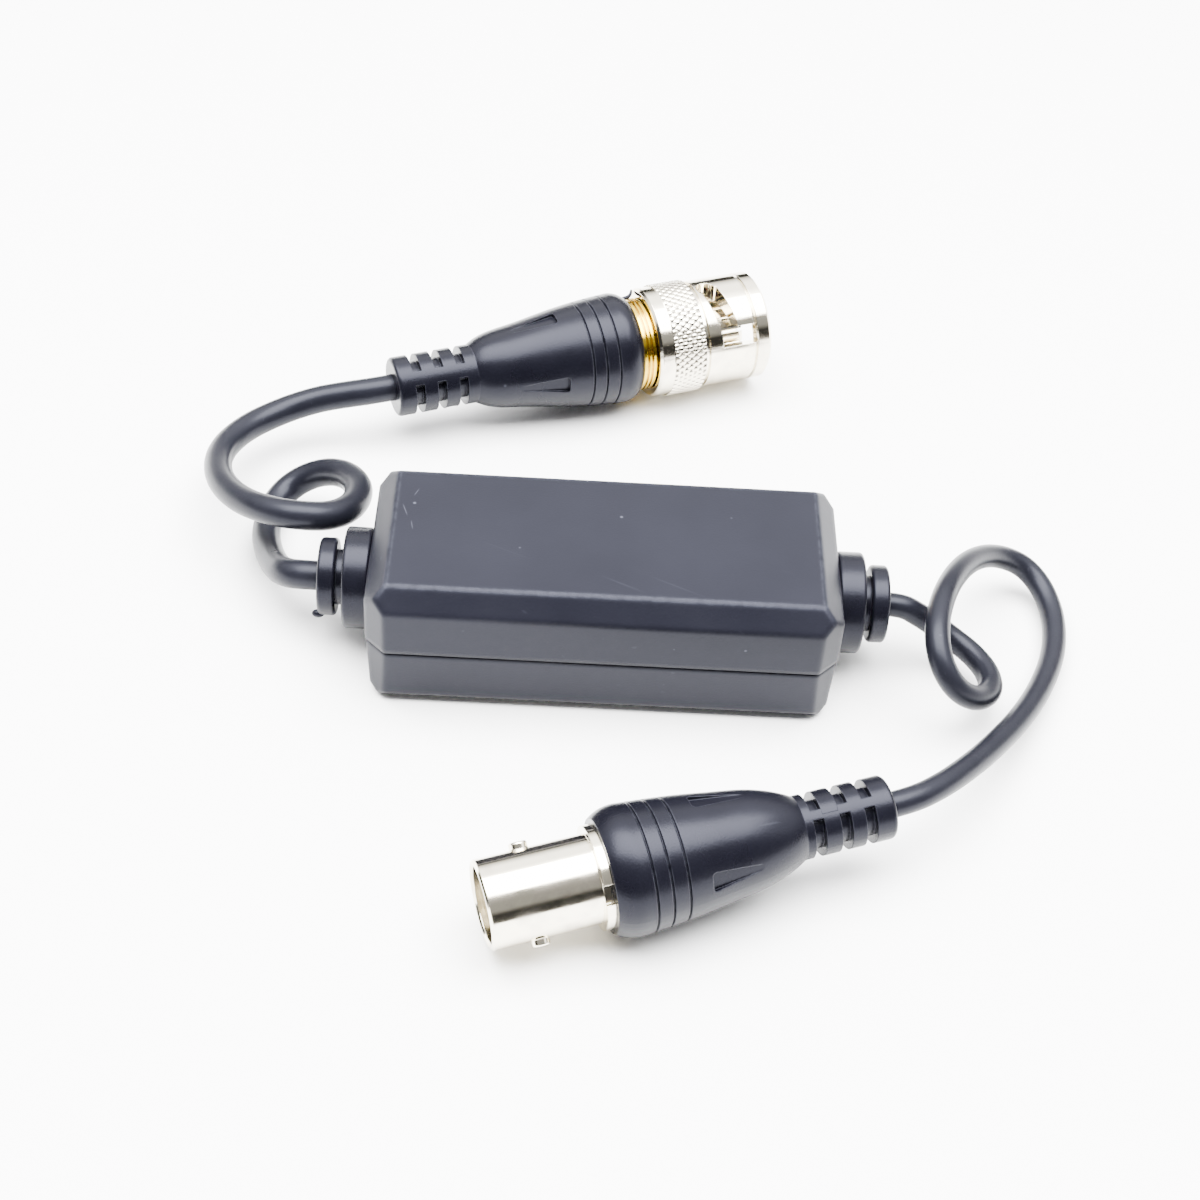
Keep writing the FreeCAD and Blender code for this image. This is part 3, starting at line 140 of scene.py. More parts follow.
def noiseNode(tree, vector, scale, detail):
    node = tree.nodes.new("ShaderNodeTexNoise")
    node.inputs["Detail"].default_value = detail
    feed(tree, vector, node.inputs["Vector"])
    feed(tree, scale, node.inputs["Scale"])
    return node.outputs["Fac"]


def rangeNode(tree, value, span, result=(0.0, 1.0)):
    node = tree.nodes.new("ShaderNodeMapRange")
    node.clamp = True
    feed(tree, value, node.inputs["Value"])
    for label, number in zip(("From Min", "From Max", "To Min", "To Max"), span + result):
        node.inputs[label].default_value = number
    return node.outputs["Result"]


def mixColour(tree, factor, first, second):
    node = tree.nodes.new("ShaderNodeMix")
    node.data_type = "RGBA"
    feed(tree, factor, node.inputs["Factor"])
    for label, value in (("A", first), ("B", second)):
        socket = [s for s in node.inputs if s.name == label and s.type == "RGBA"][0]
        feed(tree, value + (1.0,) if isinstance(value, tuple) else value, socket)
    return [s for s in node.outputs if s.type == "RGBA"][0]


def bumpNode(tree, height, strength, distance, normal):
    node = tree.nodes.new("ShaderNodeBump")
    node.inputs["Strength"].default_value = strength
    node.inputs["Distance"].default_value = distance
    feed(tree, height, node.inputs["Height"])
    feed(tree, normal, node.inputs["Normal"])
    return node.outputs["Normal"]


# ---- effects that materials share

# mould grain: a fine irregular height, with broad soft clouds for colour
grainDetail = {"height": 3.0, "cloud": 4.0}


def makeGrainGroup():
    group, given, made = startGroup("mouldGrain", [
        ("Grain Size", "NodeSocketFloat", 5200.0), ("Cloud Size", "NodeSocketFloat", 90.0)],
        [("Height", "NodeSocketFloat"), ("Cloud", "NodeSocketFloat")])
    place = objectPlace(group)
    grain = noiseNode(group, place, given["Grain Size"], grainDetail["height"])
    cloud = noiseNode(group, place, given["Cloud Size"], grainDetail["cloud"])
    feed(group, grain, made["Height"])
    feed(group, cloud, made["Cloud"])
    return group


# edge wear: where the rounded normal differs from the true one, broken up by noise
wearLimits = {"samples": 6, "turned": (0.995, 0.95), "broken": (0.30, 0.55), "detail": 2.0}


def makeWearGroup():
    group, given, made = startGroup("edgeWear", [
        ("Width", "NodeSocketFloat", 0.00012), ("Breakup", "NodeSocketFloat", 900.0)],
        [("Mask", "NodeSocketFloat"), ("Normal", "NodeSocketVector")])
    rounded = group.nodes.new("ShaderNodeBevel")
    rounded.samples = wearLimits["samples"]
    feed(group, given["Width"], rounded.inputs["Radius"])
    geometry = group.nodes.new("ShaderNodeNewGeometry")
    alike = vectorNode(group, "DOT_PRODUCT", rounded.outputs["Normal"], geometry.outputs["True Normal"])
    noise = noiseNode(group, objectPlace(group), given["Breakup"], wearLimits["detail"])
    turned = rangeNode(group, alike, wearLimits["turned"])
    broken = rangeNode(group, noise, wearLimits["broken"])
    feed(group, mathNode(group, "MULTIPLY", turned, broken, True), made["Mask"])
    feed(group, rounded.outputs["Normal"], made["Normal"])
    return group


# scratches: thin broken lines in one direction, and tiny specks
scratchLimits = {"stretch": (60.0, 1500.0, 900.0), "detail": 1.0, "line": (0.74, 0.8),
                 "dot": (0.15, 0.06), "rare": (0.975, 0.98)}


def makeScratchGroup():
    group, given, made = startGroup("scratchesAndSpecks", [
        ("Turn", "NodeSocketFloat", 0.6), ("Speck Size", "NodeSocketFloat", 900.0)],
        [("Scratches", "NodeSocketFloat"), ("Specks", "NodeSocketFloat")])
    place = objectPlace(group)
    stretch = group.nodes.new("ShaderNodeMapping")
    stretch.inputs["Scale"].default_value = scratchLimits["stretch"]
    feed(group, turnAboutZ(group, place, given["Turn"]), stretch.inputs["Vector"])
    lines = noiseNode(group, stretch.outputs["Vector"], 1.0, scratchLimits["detail"])
    feed(group, rangeNode(group, lines, scratchLimits["line"]), made["Scratches"])
    cells = group.nodes.new("ShaderNodeTexVoronoi")
    feed(group, place, cells.inputs["Vector"])
    feed(group, given["Speck Size"], cells.inputs["Scale"])
    chance = group.nodes.new("ShaderNodeSeparateColor")
    feed(group, cells.outputs["Color"], chance.inputs["Color"])
    dot = rangeNode(group, cells.outputs["Distance"], scratchLimits["dot"])
    rare = rangeNode(group, chance.outputs["Red"], scratchLimits["rare"])
    feed(group, mathNode(group, "MULTIPLY", dot, rare, True), made["Specks"])
    return group


# one scuff: a short soft streak at a given place
scuffFade = (1.0, 0.3)


def makeScuffGroup():
    group, given, made = startGroup("scuff", [
        ("Middle", "NodeSocketVector", (0.0, 0.0, 0.0)), ("Turn", "NodeSocketFloat", 0.0),
        ("Half Size", "NodeSocketVector", (1.0, 1.0, 1.0))], [("Mask", "NodeSocketFloat")])
    offset = vectorNode(group, "SUBTRACT", objectPlace(group), given["Middle"])
    turned = turnAboutZ(group, offset, given["Turn"])
    share = vectorNode(group, "DIVIDE", turned, given["Half Size"])
    split = splitVector(group, vectorNode(group, "ABSOLUTE", share))
    farthest = mathNode(group, "MAXIMUM", split["X"], split["Y"])
    farthest = mathNode(group, "MAXIMUM", farthest, split["Z"])
    feed(group, rangeNode(group, farthest, scuffFade), made["Mask"])
    return group


# turning marks: fine rings across a connector's own axis, and cloudy tarnish
turningDetail = {"marks": 2.0, "tarnish": 5.0, "tarnishSize": 420.0}


def makeTurningGroup():
    group, given, made = startGroup("turningMarks", [
        ("Axis", "NodeSocketVector", (1.0, 0.0, 0.0)), ("Fineness", "NodeSocketFloat", 9000.0)],
        [("Height", "NodeSocketFloat"), ("Tarnish", "NodeSocketFloat")])
    place = objectPlace(group)
    marks = group.nodes.new("ShaderNodeTexNoise")
    marks.noise_dimensions = "1D"
    marks.inputs["Detail"].default_value = turningDetail["marks"]
    feed(group, vectorNode(group, "DOT_PRODUCT", place, given["Axis"]), marks.inputs["W"])
    feed(group, given["Fineness"], marks.inputs["Scale"])
    tarnish = noiseNode(group, place, turningDetail["tarnishSize"], turningDetail["tarnish"])
    feed(group, marks.outputs["Fac"], made["Height"])
    feed(group, tarnish, made["Tarnish"])
    return group


grainGroup = makeGrainGroup()
wearGroup = makeWearGroup()
scratchGroup = makeScratchGroup()
scuffGroup = makeScuffGroup()
turningGroup = makeTurningGroup()


# ---- materials

plasticRules = {"cloud": (0.3, 0.7), "wearFade": 0.001, "scuffStrength": 0.55, "roughCloud": (0.25, 0.75),
                "roughSpread": 0.05, "paleRough": 0.2, "bumpHeight": 0.00004}
metalRules = {"dull": (0.45, 0.75), "roughTarnish": (0.35, 0.75), "roughSpread": 0.1,
              "bumpHeight": 0.00002}


# how pale each spot is: the strongest of worn edge, scratch, speck and scuff
def palePlaces(tree, look, edgeMask):
    marks = placeGroup(tree, scratchGroup, {"Turn": look["scratchTurn"], "Speck Size": look["speckSize"]})
    worn = mathNode(tree, "MULTIPLY", edgeMask, look["wear"], True)
    if "wearAbove" in look:
        height = splitVector(tree, objectPlace(tree))["Z"]
        start = look["wearAbove"]
        high = rangeNode(tree, height, (start, start + plasticRules["wearFade"]))
        worn = mathNode(tree, "MULTIPLY", worn, high, True)
    scratched = mathNode(tree, "MULTIPLY", marks["Scratches"], look["scratches"], True)
    speckled = mathNode(tree, "MULTIPLY", marks["Specks"], look["specks"], True)
    pale = mathNode(tree, "MAXIMUM", mathNode(tree, "MAXIMUM", worn, scratched), speckled)
    for middle, turn, halfLength, halfWidth in look.get("scuffs", ()):
        scuff = placeGroup(tree, scuffGroup, {
            "Middle": tuple(v * mm for v in middle), "Turn": -turn,
            "Half Size": (halfLength * mm, halfWidth * mm, mm)})
        streak = mathNode(tree, "MULTIPLY", scuff["Mask"], plasticRules["scuffStrength"])
        pale = mathNode(tree, "MAXIMUM", pale, streak)
    return pale


def mouldedPlastic(name, look):
    material, tree, shader = newMaterial(name)
    grain = placeGroup(tree, grainGroup, {"Grain Size": look["grainSize"], "Cloud Size": look["cloudSize"]})
    edge = placeGroup(tree, wearGroup, {"Width": look["wearWidth"]})
    cloud = rangeNode(tree, grain["Cloud"], plasticRules["cloud"])
    colour = mixColour(tree, cloud, look["colour"], look["cloudColour"])
    pale = palePlaces(tree, look, edge["Mask"])
    feed(tree, mixColour(tree, pale, colour, look["wornColour"]), shader.inputs["Base Color"])
    spread = plasticRules["roughSpread"]
    rough = rangeNode(tree, grain["Cloud"], plasticRules["roughCloud"],
                      (look["roughness"] - spread, look["roughness"] + spread))
    paleRough = mathNode(tree, "MULTIPLY", pale, plasticRules["paleRough"])
    feed(tree, mathNode(tree, "ADD", rough, paleRough, True), shader.inputs["Roughness"])
    normal = bumpNode(tree, grain["Height"], look["grain"], plasticRules["bumpHeight"], edge["Normal"])
    feed(tree, normal, shader.inputs["Normal"])
    shader.inputs["Specular IOR Level"].default_value = look["gloss"]
    shader.inputs["Specular Tint"].default_value = look["glossTint"] + (1.0,)
    return material


def platedMetal(name, look, axis=(1.0, 0.0, 0.0)):
    material, tree, shader = newMaterial(name)
    marks = placeGroup(tree, turningGroup, {"Axis": axis, "Fineness": look["fineness"]})
    edge = placeGroup(tree, wearGroup, {"Width": look["edgeWidth"]})
    dull = rangeNode(tree, marks["Tarnish"], metalRules["dull"])
    feed(tree, mixColour(tree, dull, look["colour"], look["dullColour"]), shader.inputs["Base Color"])
    rough = rangeNode(tree, marks["Tarnish"], metalRules["roughTarnish"],
                      (look["roughness"], look["roughness"] + metalRules["roughSpread"]))
    feed(tree, rough, shader.inputs["Roughness"])
    normal = bumpNode(tree, marks["Height"], look["marks"], metalRules["bumpHeight"], edge["Normal"])
    feed(tree, normal, shader.inputs["Normal"])
    shader.inputs["Metallic"].default_value = 1.0
    return material


# each scuff: middle in mm, turn in radians, half length and half width in mm
shellLook = {
    "colour": (0.0045, 0.0046, 0.0071), "cloudColour": (0.0057, 0.0058, 0.0087),
    "wornColour": (0.050, 0.052, 0.068), "roughness": 0.32, "gloss": 0.115, "glossTint": (0.78, 0.81, 1.0),
    "grainSize": 4200.0, "cloudSize": 70.0, "grain": 0.25, "wearWidth": 0.00090, "wear": 0.8,
    "wearAbove": 0.0155, "scratches": 0.10, "specks": 0.8, "scratchTurn": 0.45, "speckSize": 620.0,
    "scuffs": [((-23.6, 3.0, 16.7), 1.9, 1.1, 0.07), ((-22.6, 0.4, 16.7), 1.75, 0.8, 0.06),
               ((-22.5, 6.2, 16.7), 1.2, 0.7, 0.06), ((-10.0, -2.6, 16.7), 0.3, 0.14, 0.12)]}
bootLook = {
    "colour": (0.0021, 0.0021, 0.0036), "cloudColour": (0.0029, 0.0029, 0.0048),
    "wornColour": (0.045, 0.047, 0.060), "roughness": 0.29, "gloss": 0.13, "glossTint": (0.80, 0.82, 1.0),
    "grainSize": 5200.0, "cloudSize": 110.0, "grain": 0.3, "wearWidth": 0.00018, "wear": 0.3,
    "scratches": 0.12, "specks": 0.4, "scratchTurn": -0.35, "speckSize": 520.0}
jacketLook = {
    "colour": (0.0040, 0.0041, 0.0062), "cloudColour": (0.0054, 0.0055, 0.0080),
    "wornColour": (0.04, 0.04, 0.05), "roughness": 0.32, "gloss": 0.13, "glossTint": (0.82, 0.85, 1.0),
    "grainSize": 3600.0, "cloudSize": 160.0, "grain": 0.3, "wearWidth": 0.0001, "wear": 0.0,
    "scratches": 0.1, "specks": 0.3, "scratchTurn": 1.1, "speckSize": 600.0}
nickelLook = {"colour": (0.82, 0.76, 0.61), "dullColour": (0.60, 0.54, 0.45), "roughness": 0.09,
              "fineness": 7000.0, "marks": 0.10, "edgeWidth": 0.00012}
goldLook = {"colour": (0.70, 0.47, 0.035), "dullColour": (0.40, 0.25, 0.015), "roughness": 0.13,
            "fineness": 7000.0, "marks": 0.2, "edgeWidth": 0.0001}
# a near-black nickel for the sleeve under the knurl's pegs: painted shade and painted dark reflection in
# the gaps
knurlGapShadeLook = {"colour": (0.10, 0.095, 0.09), "dullColour": (0.06, 0.055, 0.05), "roughness": 0.35,
           "fineness": 7000.0, "marks": 0.1, "edgeWidth": 0.00005}
steelLook = {"colour": (0.55, 0.54, 0.53), "dullColour": (0.42, 0.41, 0.4), "roughness": 0.32,
             "fineness": 5000.0, "marks": 0.2, "edgeWidth": 0.00005}
solderLook = {"colour": (0.66, 0.66, 0.67), "dullColour": (0.5, 0.5, 0.51), "roughness": 0.28,
              "fineness": 900.0, "marks": 0.1, "edgeWidth": 0.00005}
copperLook = {"colour": (0.62, 0.22, 0.08), "dullColour": (0.45, 0.15, 0.06), "roughness": 0.25,
              "fineness": 900.0, "marks": 0.1, "edgeWidth": 0.00008}


# a clean moulding, for the pieces inside
def plainLook(colour, cloudColour, roughness):
    return {"colour": colour, "cloudColour": cloudColour, "wornColour": (0.6, 0.6, 0.6),
            "roughness": roughness, "gloss": 0.5, "glossTint": (1.0, 1.0, 1.0), "grainSize": 4000.0,
            "cloudSize": 300.0, "grain": 0.15, "wearWidth": 0.00006, "wear": 0.1, "scratches": 0.0,
            "specks": 0.0, "scratchTurn": 0.0, "speckSize": 500.0}


dielectricLook = plainLook((0.78, 0.77, 0.73), (0.7, 0.69, 0.65), 0.35)
rubberLook = plainLook((0.28, 0.03, 0.025), (0.2, 0.02, 0.02), 0.55)
laminateLook = plainLook((0.015, 0.12, 0.045), (0.01, 0.09, 0.03), 0.3)
ferriteLook = plainLook((0.07, 0.07, 0.075), (0.05, 0.05, 0.055), 0.6)
capacitorLook = plainLook((0.4, 0.035, 0.025), (0.3, 0.02, 0.02), 0.25)
suppressorLook = plainLook((0.02, 0.09, 0.32), (0.015, 0.06, 0.25), 0.25)
resistorLook = plainLook((0.52, 0.4, 0.22), (0.45, 0.33, 0.18), 0.3)

shellPlastic = mouldedPlastic("shellPlastic", shellLook)
softMoulding = mouldedPlastic("softMoulding", bootLook)
cableJacket = mouldedPlastic("cableJacket", jacketLook)
plugNickel = platedMetal("plugNickel", nickelLook, plugAxis)
jackNickel = platedMetal("jackNickel", nickelLook, jackAxis)
plugGold = platedMetal("plugGold", goldLook, plugAxis)
jackGold = platedMetal("jackGold", goldLook, jackAxis)
knurlGapShadeNickel = platedMetal("knurlGapShadeNickel", knurlGapShadeLook, plugAxis)
springSteel = platedMetal("springSteel", steelLook, plugAxis)
tinSolder = platedMetal("tinSolder", solderLook)
enamelledCopper = platedMetal("enamelledCopper", copperLook)
whiteDielectric = mouldedPlastic("whiteDielectric", dielectricLook)
sealRubber = mouldedPlastic("sealRubber", rubberLook)
boardLaminate = mouldedPlastic("boardLaminate", laminateLook)
ferriteGrey = mouldedPlastic("ferriteGrey", ferriteLook)
capacitorRed = mouldedPlastic("capacitorRed", capacitorLook)
suppressorBlue = mouldedPlastic("suppressorBlue", suppressorLook)
resistorBeige = mouldedPlastic("resistorBeige", resistorLook)

finishes = {
    "upper_shell": shellPlastic, "lower_shell": shellPlastic, "left_grommet": softMoulding,
    "right_grommet": softMoulding, "circuit_board": boardLaminate, "transformer_core": ferriteGrey,
    "primary_winding": enamelledCopper, "secondary_winding": enamelledCopper,
    "film_capacitor": capacitorRed, "surge_suppressor": suppressorBlue,
    "damping_resistor": resistorBeige, "solder_joints": tinSolder, "left_lead_end": cableJacket,
    "right_lead_end": cableJacket, "plug_boot": softMoulding, "plug_body": plugGold,
    "plug_contact": plugNickel, "plug_insulator": whiteDielectric, "plug_pin": plugGold,
    "plug_gasket": sealRubber, "plug_ferrule": plugNickel, "plug_lead_end": cableJacket,
    "snap_ring": springSteel, "wave_spring": springSteel, "slip_washer": springSteel,
    "coupling_nut": plugNickel, "jack_boot": softMoulding, "jack_barrel": jackNickel,
    "jack_insulator": whiteDielectric, "jack_socket": jackGold, "jack_ferrule": jackNickel,
    "jack_lead_end": cableJacket,
}
for nodeName, finish in finishes.items():
    nodes[nodeName].data.materials.clear()
    nodes[nodeName].data.materials.append(finish)
print("materials placed")


# ---- helpers for pieces: sizes are in mm until they reach the mesh

def addObject(name, data):
    added = bpy.data.objects.new(name, data)
    bpy.context.scene.collection.objects.link(added)
    return added


def placePiece(name, built, material, body):
    mesh = bpy.data.meshes.new(name)
    built.to_mesh(mesh)
    built.free()
    mesh.materials.append(material)
    piece = addObject(name, mesh)
    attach(piece, body)
    return piece


# root and taper: how many diameters wide the tube is at its first point, and how much less at each next
def placeTube(name, look, material):
    curve = bpy.data.curves.new(name, "CURVE")
    curve.dimensions = "3D"
    curve.resolution_u = look["stepsAlong"]
    curve.bevel_depth = look["diameter"] / 2 * mm
    curve.bevel_resolution = look["stepsRound"]
    curve.use_fill_caps = True
    spline = curve.splines.new("NURBS")
    spline.points.add(len(look["points"]) - 1)
    for index, (point, place) in enumerate(zip(spline.points, look["points"])):
        point.co = tuple(v * mm for v in place) + (1.0,)
        point.radius = look["root"] - look["taper"] * index
    spline.order_u = 3
    spline.use_endpoint_u = True
    curve.materials.append(material)
    tube = addObject(name, curve)
    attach(tube, "main")
    return tube


# ---- knurl on the coupling nut: rows of small pegs, every second row half a step on, over a dark sleeve with painted shade in the gaps between them

nutKnurl = {"bandStart": 9.62, "bandEnd": 14.08, "rows": 7, "rowPitch": 0.66, "around": 50,
            "floor": 7.485, "crest": 7.6, "base": 0.41, "top": 0.2, "pegSides": 8, "pit": 7.504,
            "pitSides": 100}


def makeKnurl(look):
    built = bmesh.new()
    middle = (look["bandStart"] + look["bandEnd"]) / 2
    height = look["crest"] - look["floor"]
    widen = look["rowPitch"] * look["around"] / (pi * look["floor"])
    stretch = Matrix.Diagonal((widen, 1.0, 1.0, 1.0))
    for row in range(look["rows"]):
        back = middle + (row - (look["rows"] - 1) / 2) * look["rowPitch"]
        for step in range(look["around"]):
            turn = Matrix.Rotation(2 * pi * (step + row % 2 / 2) / look["around"], 4, "Z")
            outwards = Matrix.Translation(((look["floor"] + height / 2) * mm, 0, -back * mm))
            place = turn @ outwards @ Matrix.Rotation(pi / 2, 4, "Y") @ stretch
            bmesh.ops.create_cone(built, cap_ends=True, segments=look["pegSides"], matrix=place,
                                  radius1=look["base"] * mm, radius2=look["top"] * mm, depth=height * mm)
    for limit, side in ((look["bandStart"], 1), (look["bandEnd"], -1)):
        whole = built.verts[:] + built.edges[:] + built.faces[:]
        cut = bmesh.ops.bisect_plane(built, geom=whole, plane_co=(0, 0, -limit * mm),
                                     plane_no=(0, 0, side), clear_outer=True)
        rims = [part for part in cut["geom_cut"] if isinstance(part, bmesh.types.BMEdge)]
        bmesh.ops.holes_fill(built, edges=rims)
    raised = set(built.faces)
    # a dark sleeve just above the pegs' floor: the gaps between the pegs show painted shade
    bmesh.ops.create_cone(built, segments=look["pitSides"], radius1=look["pit"] * mm,
                          radius2=look["pit"] * mm, depth=(look["bandEnd"] - look["bandStart"]) * mm,
                          matrix=Matrix.Translation((0, 0, -middle * mm)))
    for face in built.faces:
        face.material_index = 0 if face in raised else 1
    bmesh.ops.transform(built, matrix=plugPlace, verts=built.verts)
    knurl = placePiece("nutKnurl", built, plugNickel, nutBody)
    # second material: the dark nickel of painted shade, for the sleeve between the pegs
    knurl.data.materials.append(knurlGapShadeNickel)


makeKnurl(nutKnurl)

# ---- second band of the jack boot's collar: covers the side where the CAD mesh is cut across

jackCollarBand = {"inner": 2.55, "outer": 3.503, "front": 36.88, "back": 38.72, "turn": 66.0,
                  "sweep": 166.0, "steps": 55}


def makeCollarBand(look):
    built = bmesh.new()
    inner, outer, front, back = (look[label] * mm for label in ("inner", "outer", "front", "back"))
    size = Matrix.Diagonal((outer - inner, back - front, 1.0, 1.0))
    middle = Matrix.Translation(((outer + inner) / 2, 0, -(back + front) / 2))
    profile = middle @ Matrix.Rotation(pi / 2, 4, "X") @ size
    bmesh.ops.create_grid(built, x_segments=1, y_segments=1, size=0.5, matrix=profile)
    whole = built.verts[:] + built.edges[:] + built.faces[:]
    bmesh.ops.spin(built, geom=whole, axis=(0, 0, 1), cent=(0, 0, 0),
                   angle=radians(look["sweep"]), steps=look["steps"])
    bmesh.ops.recalc_face_normals(built, faces=built.faces)
    start = Matrix.Rotation(radians(look["turn"]), 4, "Z")
    bmesh.ops.transform(built, matrix=jackPlace @ start, verts=built.verts)
    placePiece("jackCollarBand", built, softMoulding, "main")


makeCollarBand(jackCollarBand)

# ---- wave spring: the CAD ring copied as a piece of its own in place of the CAD one (the real ring flattens against its fixed end as the nut is pulled; this copy keeps its shape)


def makeSpring():
    built = bmesh.new()
    built.from_mesh(nodes["wave_spring"].data)
    bmesh.ops.transform(built, matrix=nodes["wave_spring"].matrix_world, verts=built.verts)
    spring = placePiece("waveSpring", built, springSteel, "main")
    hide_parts("wave_spring")
    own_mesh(spring)


makeSpring()

# ---- moulding flash: a nub on the left grommet and a curl at the front of the plug's boot

flashNub = {"middle": (-33.45, -3.15, 5.15), "halfSize": (0.75, 0.5, 0.5), "fineness": 3}
flashCurl = {"diameter": 0.34, "stepsAlong": 12, "stepsRound": 3, "root": 2.2, "taper": 0.35,
             "points": [(1.0, 52.9, 12.35), (1.7, 53.1, 12.62), (2.3, 53.4, 12.75),
                        (2.65, 53.9, 13.05), (2.62, 54.2, 13.4)]}


def makeNub(look):
    built = bmesh.new()
    place = Matrix.Translation(Vector(look["middle"]) * mm) @ Matrix.Diagonal(look["halfSize"] + (1.0,))
    bmesh.ops.create_icosphere(built, subdivisions=look["fineness"], radius=mm, matrix=place)
    for face in built.faces:
        face.smooth = True
    placePiece("flashNub", built, softMoulding, "main")


makeNub(flashNub)
placeTube("flashCurl", flashCurl, softMoulding)
print("small pieces made")


# ---- the two leads, from the grommet to inside the boot

leftLead = {
    "node": "left_cable", "diameter": 3.5, "length": 105.5, "stepsAlong": 10, "stepsRound": 10,
    "root": 1.0, "taper": 0.0,
    "points": [
        (-33.45, 0, 8.3), (-35.45, 0, 8.3), (-37.5, 1.0, 7.5), (-39.0, 3.4, 6.0), (-40.6, 7.6, 4.2),
        (-41.8, 12.2, 3.1), (-41.9, 16.4, 2.7), (-41.2, 19.4, 2.9), (-39.6, 21.4, 3.7),
        (-37.1, 22.0, 5.1), (-34.3, 20.9, 6.8), (-31.7, 18.4, 8.2), (-30.1, 14.5, 9.4),
        (-30.5, 10.0, 10.6), (-32.6, 6.6, 11.9), (-36.0, 5.3, 12.8), (-40.4, 6.8, 12.1),
        (-44.9, 11.2, 10.0), (-48.2, 17.4, 8.0), (-49.0, 24.1, 6.4), (-46.8, 29.8, 5.6),
        (-42.6, 33.6, 5.7), (-38.2, 35.4, 6.5), (-34.4, 35.9, 7.2), (-30.993, 36.324, 7.68),
        (-28.194, 37.404, 7.68)],
    "carries": ["plug_boot", "plug_body", "plug_contact", "plug_insulator", "plug_pin", "plug_gasket",
                "plug_ferrule", "plug_lead_end", "snap_ring", "waveSpring", "slip_washer",
                "coupling_nut", "nutKnurl", "flashCurl"],
}
rightLead = {
    "node": "right_cable", "diameter": 2.9, "length": 119.3, "stepsAlong": 10, "stepsRound": 10,
    "root": 1.0, "taper": 0.0,
    "points": [
        (33.45, 0, 8.3), (35.45, 0, 8.3), (37.5, -0.1, 7.1), (39.8, -0.4, 5.7), (42.0, -1.2, 4.4),
        (44.3, -3.0, 3.8), (45.9, -6.0, 3.7), (45.8, -9.6, 4.3), (43.6, -12.5, 5.6),
        (40.8, -13.4, 7.8), (38.8, -12.2, 10.2), (38.1, -9.1, 11.9), (38.8, -4.7, 12.4),
        (40.6, 0.6, 11.6), (43.3, 6.1, 9.8), (46.5, 10.5, 7.5), (49.7, 12.8, 5.4), (52.7, 13.0, 3.8),
        (54.9, 10.6, 2.5), (55.8, 6.1, 1.8), (55.1, 0.3, 1.8), (52.6, -6.4, 2.5), (48.8, -13.5, 3.9),
        (44.0, -20.4, 5.7), (40.4, -25.0, 7.2), (37.1, -28.6, 8.3), (33.805, -31.118, 8.794),
        (30.960, -32.058, 8.637)],
    "carries": ["jack_boot", "jack_barrel", "jack_insulator", "jack_socket", "jack_ferrule",
                "jack_lead_end", "jackCollarBand"],
}


def makeLead(name, lead):
    cable = placeTube(name, lead, cableJacket)
    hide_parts(lead["node"])


makeLead("leftLead", leftLead)
makeLead("rightLead", rightLead)
print("leads laid")


# ---- floor, light and camera

paleFloor = {"colour": (0.95, 0.95, 0.95), "roughness": 0.9, "gloss": 0.1, "size": 3.0, "drop": 0.1}

# brightness by direction: span limits are heights of the direction, and -y for the room's edge
studioLook = {"sky": 5.6, "horizon": (0.24, 0.58), "zenith": 7.0, "zenithStep": (0.80, 0.95),
              "roomHigh": 0.5, "roomLow": 0.04, "roomStep": (0.36, 0.52), "roomEdge": (0.15, 0.30)}
softboxOverhead = {"place": (0.0, 0.01, 0.55), "aim": (0.0, 0.01, 0.0), "size": (0.8, 0.48),
                   "power": 35.0}

# fitted to the photo: place in mm, angles in degrees
photoCamera = {"place": (-6.393, -181.153, 178.127), "azimuth": 1.9226, "elevation": 43.416,
               "roll": 4.215, "lens": 63.0, "sensor": 36.0, "near": 0.01}


def makeFloor(look):
    built = bmesh.new()
    lowered = Matrix.Translation((0, 0, -look["drop"] * mm))
    bmesh.ops.create_grid(built, x_segments=2, y_segments=2, size=look["size"] / 2, matrix=lowered)
    mesh = bpy.data.meshes.new("floor")
    built.to_mesh(mesh)
    built.free()
    floor = addObject("floor", mesh)
    material, tree, shader = newMaterial("paleFloor")
    shader.inputs["Base Color"].default_value = look["colour"] + (1.0,)
    shader.inputs["Roughness"].default_value = look["roughness"]
    shader.inputs["Specular IOR Level"].default_value = look["gloss"]
    mesh.materials.append(material)


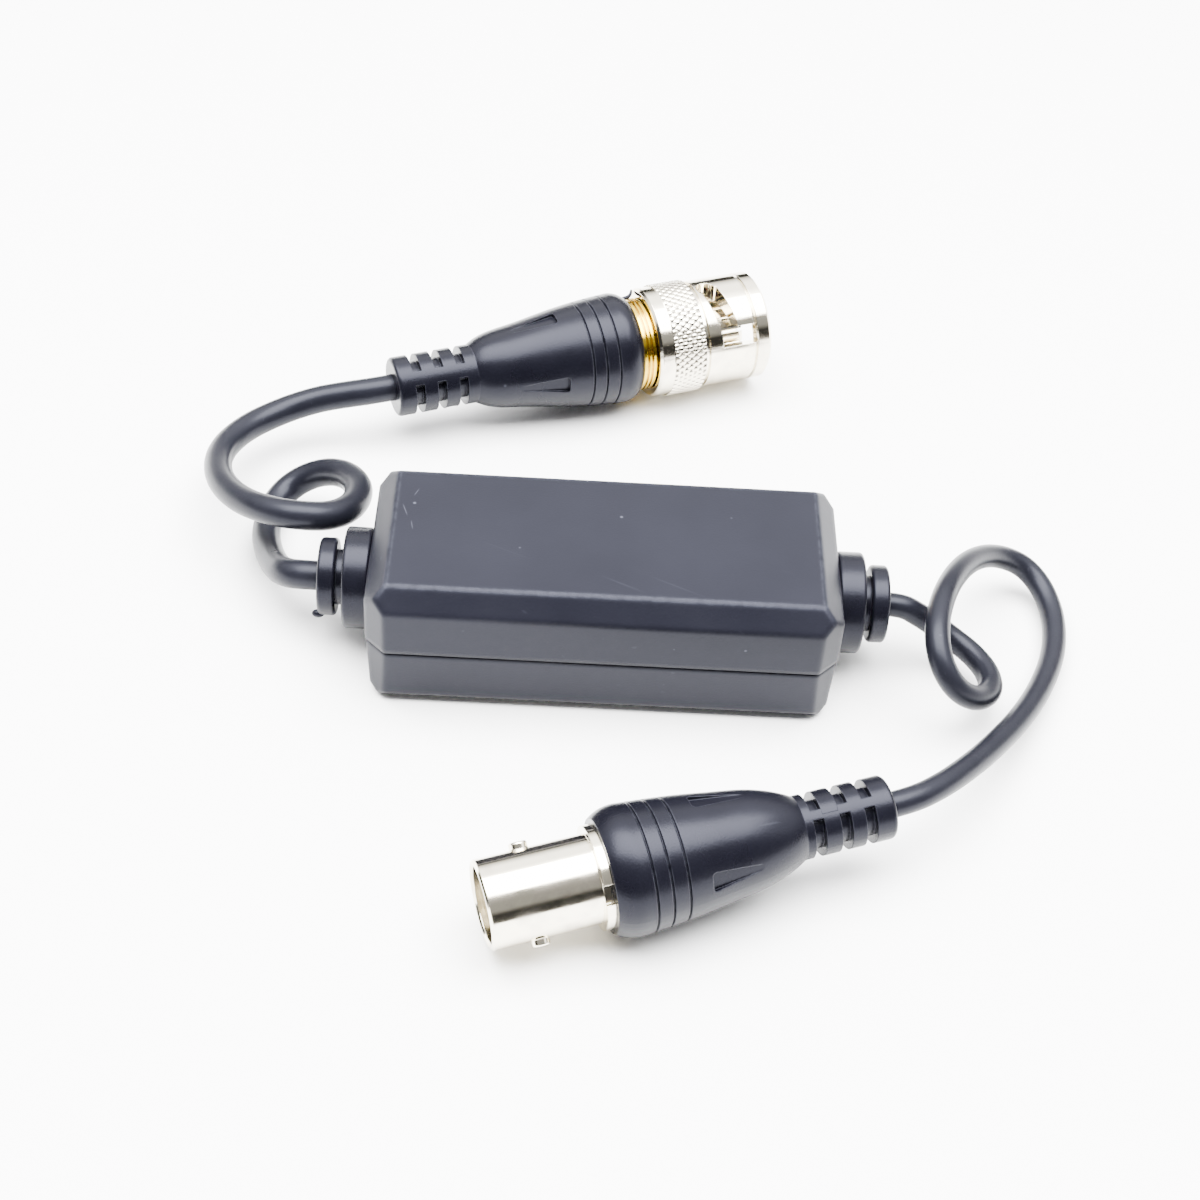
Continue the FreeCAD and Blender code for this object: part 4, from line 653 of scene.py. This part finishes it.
# a bright sky over a dark horizon, with a dim room on the camera's side
def makeWorld(look):
    world = bpy.data.worlds.new("studio")
    bpy.context.scene.world = world
    world.use_nodes = True
    tree = world.node_tree
    direction = splitVector(tree, tree.nodes.new("ShaderNodeTexCoord").outputs["Generated"])
    front = mathNode(tree, "MULTIPLY", direction["Y"], -1.0)
    dim = rangeNode(tree, front, look["roomEdge"])
    room = rangeNode(tree, direction["Z"], look["roomStep"], (look["roomLow"], look["roomHigh"]))
    sky = rangeNode(tree, direction["Z"], look["horizon"], (look["roomLow"], look["sky"]))
    zenith = rangeNode(tree, direction["Z"], look["zenithStep"], (0.0, look["zenith"]))
    sky = mathNode(tree, "ADD", sky, zenith)
    change = mathNode(tree, "MULTIPLY", dim, mathNode(tree, "SUBTRACT", room, sky))
    background = tree.nodes["Background"]
    background.inputs["Color"].default_value = (1.0, 1.0, 1.0, 1.0)
    feed(tree, mathNode(tree, "ADD", sky, change), background.inputs["Strength"])


def makeSoftbox(name, look):
    data = bpy.data.lights.new(name, "AREA")
    data.shape = "RECTANGLE"
    data.size, data.size_y = look["size"]
    data.energy = look["power"]
    light = addObject(name, data)
    light.location = look["place"]
    towards = Vector(look["aim"]) - Vector(look["place"])
    light.rotation_euler = towards.to_track_quat("-Z", "Y").to_euler()


def makeCamera(look):
    azimuth, elevation, roll = (radians(look[label]) for label in ("azimuth", "elevation", "roll"))
    forward = Vector((sin(azimuth) * cos(elevation), cos(azimuth) * cos(elevation), -sin(elevation)))
    right = Vector((cos(azimuth), -sin(azimuth), 0))
    upward = right.cross(forward)
    rolledRight = cos(roll) * right + sin(roll) * upward
    rolledUp = -sin(roll) * right + cos(roll) * upward
    data = bpy.data.cameras.new("photoCamera")
    data.sensor_width = look["sensor"]
    data.sensor_fit = "HORIZONTAL"
    data.lens = look["lens"]
    data.clip_start = look["near"]
    camera = addObject("photoCamera", data)
    turned = Matrix((rolledRight, rolledUp, -forward)).transposed().to_4x4()
    camera.matrix_world = Matrix.Translation(Vector(look["place"]) * mm) @ turned
    bpy.context.scene.camera = camera


makeFloor(paleFloor)
makeWorld(studioLook)
makeSoftbox("softboxOverhead", softboxOverhead)
makeCamera(photoCamera)
print("stage set")
